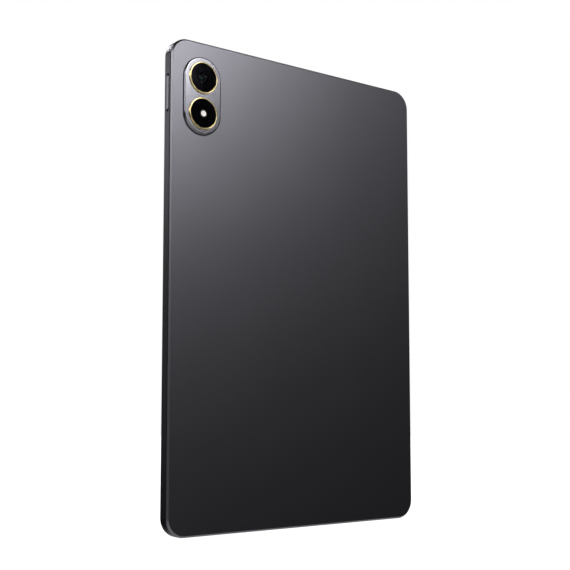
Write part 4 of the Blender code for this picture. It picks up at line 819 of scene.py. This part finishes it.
class MakeCovers(Operator):
    """Glass covers: one with a clear window over the camera, one with a hole for the light guide"""
    bl_idname = "tablet.make_covers"
    bl_label = "Lens covers"

    def execute(self, context):
        sizes = context.scene.tablet_sizes
        radius = (COVER_HIGH.x - COVER_LOW.x) / 2
        front, back = COVER_LOW.y, COVER_HIGH.y
        edge = 0.16 * MM
        rim = [(radius - edge + edge * math.cos(turn), front + edge - edge * math.sin(turn))
               for turn in (0, math.pi / 8, math.pi / 4, 3 * math.pi / 8, math.pi / 2)]
        window = sizes.window
        outline = [(0, back), (window, back), (radius, back), *rim, (window, front), (0, front)]
        cover = lathe("camera_cover_glass", outline, CAMERA, 128)
        finish(cover, [FINISHES["black_glass"], FINISHES["window"]], ["camera_lens_cover"])
        inside = Vector((CAMERA.x, 0, CAMERA.z))
        paint(cover, 1, lambda spot: (Vector((spot.x, 0, spot.z)) - inside).length < window)

        hole = (GUIDE_HIGH.x - GUIDE_LOW.x) / 2 - 0.7 * MM + 0.12 * MM
        mouth = 0.08 * MM
        outline = [(hole, back), (radius, back), *rim, (hole + mouth, front), (hole, front + mouth)]
        cover = lathe("flash_cover_glass", outline, FLASH, 128)
        finish(cover, [FINISHES["flash_glass"]], ["flash_lens_cover"])
        return {"FINISHED"}


class MakeFlash(Operator):
    """Light guide over the flash, moulded with rings that spread the light"""
    bl_idname = "tablet.make_flash"
    bl_label = "Flash light guide"

    def execute(self, context):
        flange = (GUIDE_HIGH.x - GUIDE_LOW.x) / 2
        radius = flange - 0.7 * MM
        top, foot = GUIDE_LOW.y, GUIDE_HIGH.y
        shoulder = foot - 0.4 * MM
        teeth, deep = 7, 0.07 * MM
        pitch = (radius - 0.4 * MM) / teeth
        grooves = []
        for tooth in range(teeth, 0, -1):
            grooves += [(tooth * pitch, top + 0.02 * MM), ((tooth - 0.85) * pitch, top + deep)]
        outline = [(0, foot), (flange, foot), (flange, shoulder), (radius, shoulder),
                   (radius, top + 0.06 * MM), (radius - 0.06 * MM, top), (radius - 0.2 * MM, top),
                   *grooves[1:-1], (0, top + deep)]
        guide = lathe("flash_lens_guide", outline, FLASH, 96)
        finish(guide, [FINISHES["white_diffuser"], FINISHES["gasket"]], ["flash_light_guide"],
               sharp=20)
        lit = context.scene.tablet_sizes.flash_face
        flat = Vector((FLASH.x, 0, FLASH.z))
        paint(guide, 1, lambda spot: (Vector((spot.x, 0, spot.z)) - flat).length > lit)
        return {"FINISHED"}


class MakeBarrel(Operator):
    """The camera's lens barrel: black baffles stepping down to a coated front element"""
    bl_idname = "tablet.make_barrel"
    bl_label = "Lens barrel"

    def execute(self, context):
        radius = (BARREL_HIGH.x - BARREL_LOW.x) / 2
        top, foot = BARREL_LOW.y, BARREL_HIGH.y
        throat = 0.36 * radius
        baffles = []
        for step in range(4):
            share = step / 4
            out = radius - 0.5 * MM - share * (radius - 0.5 * MM - throat)
            baffles += [(out, top + share * 0.9 * MM), (out - 0.05 * MM, top + (share + 0.25) * 0.9 * MM)]
        outline = [(0, foot), (radius, foot), (radius, top + 0.5 * MM), (radius - 0.3 * MM, top + 0.1 * MM),
                   (radius - 0.4 * MM, top), *baffles, (throat, top + 0.95 * MM), (throat, top + 1.5 * MM),
                   (0, top + 1.5 * MM)]
        barrel = lathe("camera_lens_barrel", outline, CAMERA, 96)
        finish(barrel, [FINISHES["baffle"]], ["lens_barrel"], body="lens_barrel")
        dome = [(0, top + 1.45 * MM), (throat - 0.02 * MM, top + 1.45 * MM)]
        dome += [((throat - 0.02 * MM) * math.cos(turn), top + 1.2 * MM - 0.42 * MM * math.sin(turn))
                 for turn in [math.pi / 2 * step / 10 for step in range(11)]]
        dome[-1] = (0, dome[-1][1])
        lens = lathe("camera_front_element", dome, CAMERA, 64)
        finish(lens, [FINISHES["coated_lens"]], [], body="lens_barrel")
        return {"FINISHED"}


def key(name, axis, sign, centre, length, width, outer, flange_back, nubs, wall_back):
    """A key: its cap, the flange behind the wall that keeps it in, and the nubs that press its switches."""
    along = Z if axis == X else X
    overhang, thick = 0.6 * MM, 0.6 * MM
    low, high = [0.0] * 3, [0.0] * 3
    low[along], high[along] = centre[along] - length / 2 - overhang, centre[along] + length / 2 + overhang
    low[Y], high[Y] = centre[Y] - width / 2 - overhang, centre[Y] + width / 2 + overhang
    low[axis], high[axis] = sorted((flange_back, flange_back + sign * thick))
    piece = slab(name, low, high, width / 2 + overhang - SLIVER, 16, axis)
    edge = 0.28 * MM
    tall = abs(outer - (flange_back + sign * thick)) - edge
    top = [(overhang + inward, tall + outward) for inward, outward in quarter(edge, edge, 6)]
    follow(piece, axis, sign, [(overhang, 0), (overhang, tall), *top])
    posts = []
    for place in nubs:
        spot = [0.0] * 3
        spot[along], spot[Y] = place, centre[Y]
        spot[axis] = (wall_back + flange_back + sign * 0.2 * MM) / 2
        posts.append(cylinder("nub", Vector(spot), 0.75 * MM, abs(flange_back + sign * 0.2 * MM - wall_back),
                              axis, 24))
    boolean(piece, posts, "UNION")
    return piece


class MakeKeys(Operator):
    """Volume and power keys: satin capsules with a soft edge, each on its own body"""
    bl_idname = "tablet.make_keys"
    bl_label = "Keys"

    def execute(self, context):
        sizes = context.scene.tablet_sizes
        place = middle("volume_key")
        nubs = [middle("volume_up_switch").z, middle("volume_down_switch").z]
        volume = key("volume_rocker", X, -1, place, sizes.volume_length, sizes.key_width, VOLUME_LOW.x,
                     VOLUME_HIGH.x - 0.4 * MM, nubs, VOLUME_HIGH.x)
        finish(volume, [FINISHES["satin_aluminium"]], ["volume_key"], body="volume_key")
        place = middle("power_key")
        power = key("power_button", Z, 1, place, sizes.power_length, sizes.key_width, POWER_HIGH.z,
                    POWER_LOW.z + 0.4 * MM, [middle("power_switch").x], POWER_LOW.z)
        finish(power, [FINISHES["satin_aluminium"]], ["power_key"], body="power_key")
        return {"FINISHED"}


class MakeTray(Operator):
    """Card tray: a face flush with the side, and a tongue with the card's pocket"""
    bl_idname = "tablet.make_tray"
    bl_label = "Card tray"

    def execute(self, context):
        sizes = context.scene.tablet_sizes
        place = middle("card_tray")
        length = TRAY_HIGH.z - TRAY_LOW.z
        face_back = TRAY_HIGH.x - sizes.tray_face
        tray = slab("card_tray_drawer", (face_back, place.y - sizes.tray_width / 2, TRAY_LOW.z),
                    (TRAY_HIGH.x - 0.15 * MM, place.y + sizes.tray_width / 2, TRAY_HIGH.z),
                    sizes.tray_width / 2 - SLIVER, 16, X)
        follow(tray, X, 1, quarter(0.15 * MM, 0.15 * MM, 4))
        half_wide, half_thick = 6.6 * MM, 0.55 * MM
        tongue = slab("tongue", (TRAY_LOW.x, place.y - half_thick, place.z - half_wide),
                      (face_back + 0.4 * MM, place.y + half_thick, place.z + half_wide), 0.4 * MM, 6)
        boolean(tray, [tongue], "UNION")
        start = TRAY_LOW.x + 2 * MM
        boolean(tray, [slab("pocket", (start, place.y - 2 * MM, place.z - 4.4 * MM),
                            (start + 12 * MM, place.y + 2 * MM, place.z + 4.4 * MM), 0.8 * MM, 6)])
        finish(tray, [FINISHES["satin_aluminium"]], ["card_tray"], body="card_tray")
        return {"FINISHED"}


class MakeScreen(Operator):
    """Cover glass with a rounded edge and a clear window, and the camera behind it"""
    bl_idname = "tablet.make_screen"
    bl_label = "Screen"

    def execute(self, context):
        sizes = context.scene.tablet_sizes
        edge = 0.25 * MM
        radius = sizes.corner_radius - (GLASS_LOW.x - HOUSING_LOW.x)
        glass = slab("screen_glass_sheet", (GLASS_LOW.x, GLASS_LOW.y, GLASS_LOW.z),
                     (GLASS_HIGH.x, GLASS_HIGH.y - edge, GLASS_HIGH.z), radius, 24)
        follow(glass, Y, 1, quarter(edge, edge, 6))
        centre = Vector((FRONT_CAMERA.x, (GLASS_LOW.y + GLASS_HIGH.y) / 2, FRONT_CAMERA.z))
        clear = 1.5 * MM
        boolean(glass, [cylinder("window", centre, clear, GLASS_HIGH.y - GLASS_LOW.y, Y, 64)], "UNION")
        finish(glass, [FINISHES["screen_glass"], FINISHES["window"]], ["cover_glass"])
        flat = Vector((centre.x, 0, centre.z))
        paint(glass, 1, lambda spot: (Vector((spot.x, 0, spot.z)) - flat).length < 0.5 * clear)

        low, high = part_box("front_camera")
        module = slab("front_camera_module", low, (high.x, high.y, high.z), 0.5 * MM, 6)
        front = high.y
        cup = cylinder("cup", Vector((centre.x, front, centre.z)), 1.25 * MM, 1.2 * MM, Y, 48)
        boolean(module, [cup])
        finish(module, [FINISHES["chip_black"]], ["front_camera"])
        dome = [(0, front - 0.58 * MM), (1.0 * MM, front - 0.58 * MM)]
        dome += [(1.0 * MM * math.cos(turn), front - 0.5 * MM + 0.38 * MM * math.sin(turn))
                 for turn in [math.pi / 2 * step / 8 for step in range(9)]]
        dome[-1] = (0, dome[-1][1])
        lens = lathe("front_camera_element", dome, Vector((centre.x, 0, centre.z)), 48)
        finish(lens, [FINISHES["coated_lens"]], [])
        return {"FINISHED"}


class MakePort(Operator):
    """Charging port: a pressed shell with a rolled mouth, and a tongue with its row of contacts"""
    bl_idname = "tablet.make_port"
    bl_label = "Charging port"

    def execute(self, context):
        wall = 0.3 * MM
        lip = 0.1 * MM
        tall = PORT_HIGH.y - PORT_LOW.y
        shell = slab("port_shell", (PORT_LOW.x, PORT_LOW.y, PORT_LOW.z + lip),
                     (PORT_HIGH.x, PORT_HIGH.y, PORT_HIGH.z), tall / 2 - SLIVER, 16, Z)
        roll = quarter(lip, lip, 4)
        inner = [(wall - inward, outward) for inward, outward in reversed(roll[:-1])]
        deep = -(PORT_HIGH.z - PORT_LOW.z - lip - wall)
        follow(shell, Z, -1, [*roll, *inner, (wall, 0), (wall, deep)])
        finish(shell, [FINISHES["steel"]], ["usb_shell"])

        tongue = slab("port_tongue", (TONGUE_LOW.x, TONGUE_LOW.y, TONGUE_LOW.z + lip), TONGUE_HIGH,
                      0.2 * MM, 4, Z)
        follow(tongue, Z, -1, quarter(lip, lip, 3))
        finish(tongue, [FINISHES["chip_black"]], ["usb_tongue"])
        pads = []
        pitch = 0.5 * MM
        for number in range(12):
            x = (number - 5.5) * pitch
            for y, sign in ((TONGUE_LOW.y, -1), (TONGUE_HIGH.y, 1)):
                start, end = sorted((y + sign * 0.03 * MM, y - sign * 0.05 * MM))
                pads.append(slab("pad", (x - 0.13 * MM, start, TONGUE_LOW.z + 0.6 * MM),
                                 (x + 0.13 * MM, end, TONGUE_LOW.z + 3.6 * MM), 0.05 * MM, 2))
        contacts = together("port_contacts", pads)
        finish(contacts, [FINISHES["contact_gold"]], [])
        return {"FINISHED"}


# ------------------------------------------------------------------ the studio

# name, azimuth from -Y towards +X and elevation in degrees, distance, width, height, watts
LIGHTS = [
    ("key_softbox", 17, 32, 1.5, 0.5, 0.5, 7.2),
    ("side_softbox", -154, 21, 1.5, 0.4, 0.4, 0.6),
    ("low_side_softbox", -150, 1, 1.5, 0.4, 0.4, 0.06),
    ("edge_softbox", -62, 28, 1.5, 0.5, 0.5, 4.6),
    ("corner_softbox", 178, 34, 1.5, 0.2, 0.2, 3.5),
    ("back_fill", -14, 0, 1.5, 0.7, 0.7, 0.4),
    ("right_fill", 96, 6, 1.5, 0.7, 0.7, 1.3),
    ("screen_fill", 150, 12, 1.6, 0.9, 0.9, 2.0),
]
DARK_PATCHES = (37, -150)                 # azimuths of the surround's two dark patches, in degrees
PATCH_CORE, PATCH_EDGE = 0.8, 0.45        # cosines of the angles where a patch is dark, and where it ends
ROOM_ABOVE, ROOM_BELOW = 0.0, 0.55        # brightness of the surround above and well below the horizon
RISE_STARTS, RISE_ENDS = 0.14, 0.40       # sines of the angles below the horizon between which it grows
AMBIENT = 0.010                           # brightness added all round, dark patches and all
FLOOR_SIZE = 3
FLOOR_DROP = 0.3 * MM                     # keeps the floor clear of the tablet's edge


class SetStage(Operator):
    """Pale floor, white surround, soft lights and the camera"""
    bl_idname = "tablet.set_stage"
    bl_label = "Stage"

    def execute(self, context):
        scene = context.scene
        self.lay_floor(tuple(scene.tablet_colours.floor))
        self.surround(scene)
        for light in LIGHTS:
            self.hang(*light)
        studio = scene.tablet_studio
        turn = (math.pi / 2 + studio.pitch, 0, -studio.azimuth)
        bpy.ops.object.camera_add(location=studio.camera_place, rotation=turn)
        camera = bpy.context.object
        camera.name = "camera"
        camera.data.lens = studio.lens
        camera.data.shift_y = studio.shift_y
        camera.data.clip_start = 0.01
        camera.data.clip_end = 100
        scene.camera = camera
        scene.view_settings.view_transform = "Standard"
        return {"FINISHED"}

    def lay_floor(self, rgb):
        bpy.ops.object.select_all(action="DESELECT")
        bpy.ops.mesh.primitive_plane_add(size=FLOOR_SIZE, location=(0, 0, -FLOOR_DROP))
        floor = bpy.context.object
        floor.name = "studio_floor"
        bpy.ops.object.transform_apply(location=True, rotation=True, scale=True)
        material, tree, shader = blank("studio_paper", Base_Color=rgb, Roughness=1.0, IOR=1.45,
                                       Specular_IOR_Level=0.0, Emission_Color=rgb, Emission_Strength=0.95)
        floor.data.materials.append(material)
        floor.visible_glossy = False
        floor.visible_diffuse = False

    def surround(self, scene):
        """White to the camera. To everything else it is nearly black above and bright below, as over a lit
        floor, but for two dark patches that keep that light off the back and the long side."""
        world = bpy.data.worlds.new("studio_surround")
        scene.world = world
        world.use_nodes = True
        tree = world.node_tree
        back = tree.nodes["Background"]
        back.inputs["Color"].default_value = (1, 1, 1, 1)
        way = node(tree, "TexCoord").outputs["Generated"]
        down = node(tree, "VectorMath", {"operation": "DOT_PRODUCT"}, {0: way, 1: (0, 0, -1)})
        level = between(tree, down.outputs["Value"], ROOM_ABOVE, ROOM_BELOW, RISE_STARTS, RISE_ENDS)
        for azimuth in DARK_PATCHES:
            turn = math.radians(azimuth)
            patch = node(tree, "VectorMath", {"operation": "DOT_PRODUCT"},
                        {0: way, 1: (math.sin(turn), -math.cos(turn), 0)})
            clear = between(tree, patch.outputs["Value"], 1.0, 0.0, PATCH_EDGE, PATCH_CORE)
            level = node(tree, "Math", {"operation": "MULTIPLY"}, {0: level, 1: clear}).outputs[0]
        level = node(tree, "Math", {"operation": "ADD"}, {0: level, 1: AMBIENT}).outputs[0]
        camera = node(tree, "LightPath").outputs["Is Camera Ray"]
        seen = node(tree, "Mix", {}, {0: camera, 2: level, 3: 1.0})
        tree.links.new(seen.outputs[0], back.inputs["Strength"])

    def hang(self, name, azimuth, elevation, distance, width, height, watts):
        """Hangs one softbox, turned to the middle of the tablet."""
        turn, rise = math.radians(azimuth), math.radians(elevation)
        way = Vector((math.sin(turn) * math.cos(rise), -math.cos(turn) * math.cos(rise), math.sin(rise)))
        aim = Vector((0, 0, HOUSING_HIGH.z / 2))
        bpy.ops.object.light_add(type="AREA", location=aim + way * distance,
                                 rotation=way.to_track_quat("Z", "Y").to_euler())
        light = bpy.context.object
        light.name = name
        light.data.shape = "RECTANGLE"
        light.data.size = width
        light.data.size_y = height
        light.data.energy = watts
        light.visible_camera = False


# ------------------------------------------------------------------ the add-on

OPERATORS = (MixFinishes, MakeHousing, MakeIsland, MakeRings, MakeCovers, MakeFlash, MakeBarrel, MakeKeys,
             MakeTray, MakeScreen, MakePort, SetStage)
GROUPS = {"tablet_sizes": TabletSizes, "tablet_colours": TabletColours, "tablet_studio": StudioSettings}


class TabletPanel(Panel):
    """Lists the pieces, and the sizes and colours that they are made to"""
    bl_idname = "VIEW3D_PT_tablet"
    bl_label = "Tablet"
    bl_space_type = "VIEW_3D"
    bl_region_type = "UI"
    bl_category = "Tablet"

    def draw(self, context):
        for operator in OPERATORS:
            self.layout.operator(operator.bl_idname)
        for name, group in GROUPS.items():
            column = self.layout.column()
            for setting in group.__annotations__:
                column.prop(getattr(context.scene, name), setting)


def register():
    for kind in (*GROUPS.values(), *OPERATORS, TabletPanel):
        bpy.utils.register_class(kind)
    for name, group in GROUPS.items():
        setattr(bpy.types.Scene, name, PointerProperty(type=group))


def unregister():
    for name in GROUPS:
        delattr(bpy.types.Scene, name)
    for kind in reversed((*GROUPS.values(), *OPERATORS, TabletPanel)):
        bpy.utils.unregister_class(kind)


def main():
    register()
    for operator in OPERATORS:
        folder, name = operator.bl_idname.split(".")
        getattr(getattr(bpy.ops, folder), name)()


if __name__ == "__main__":
    main()
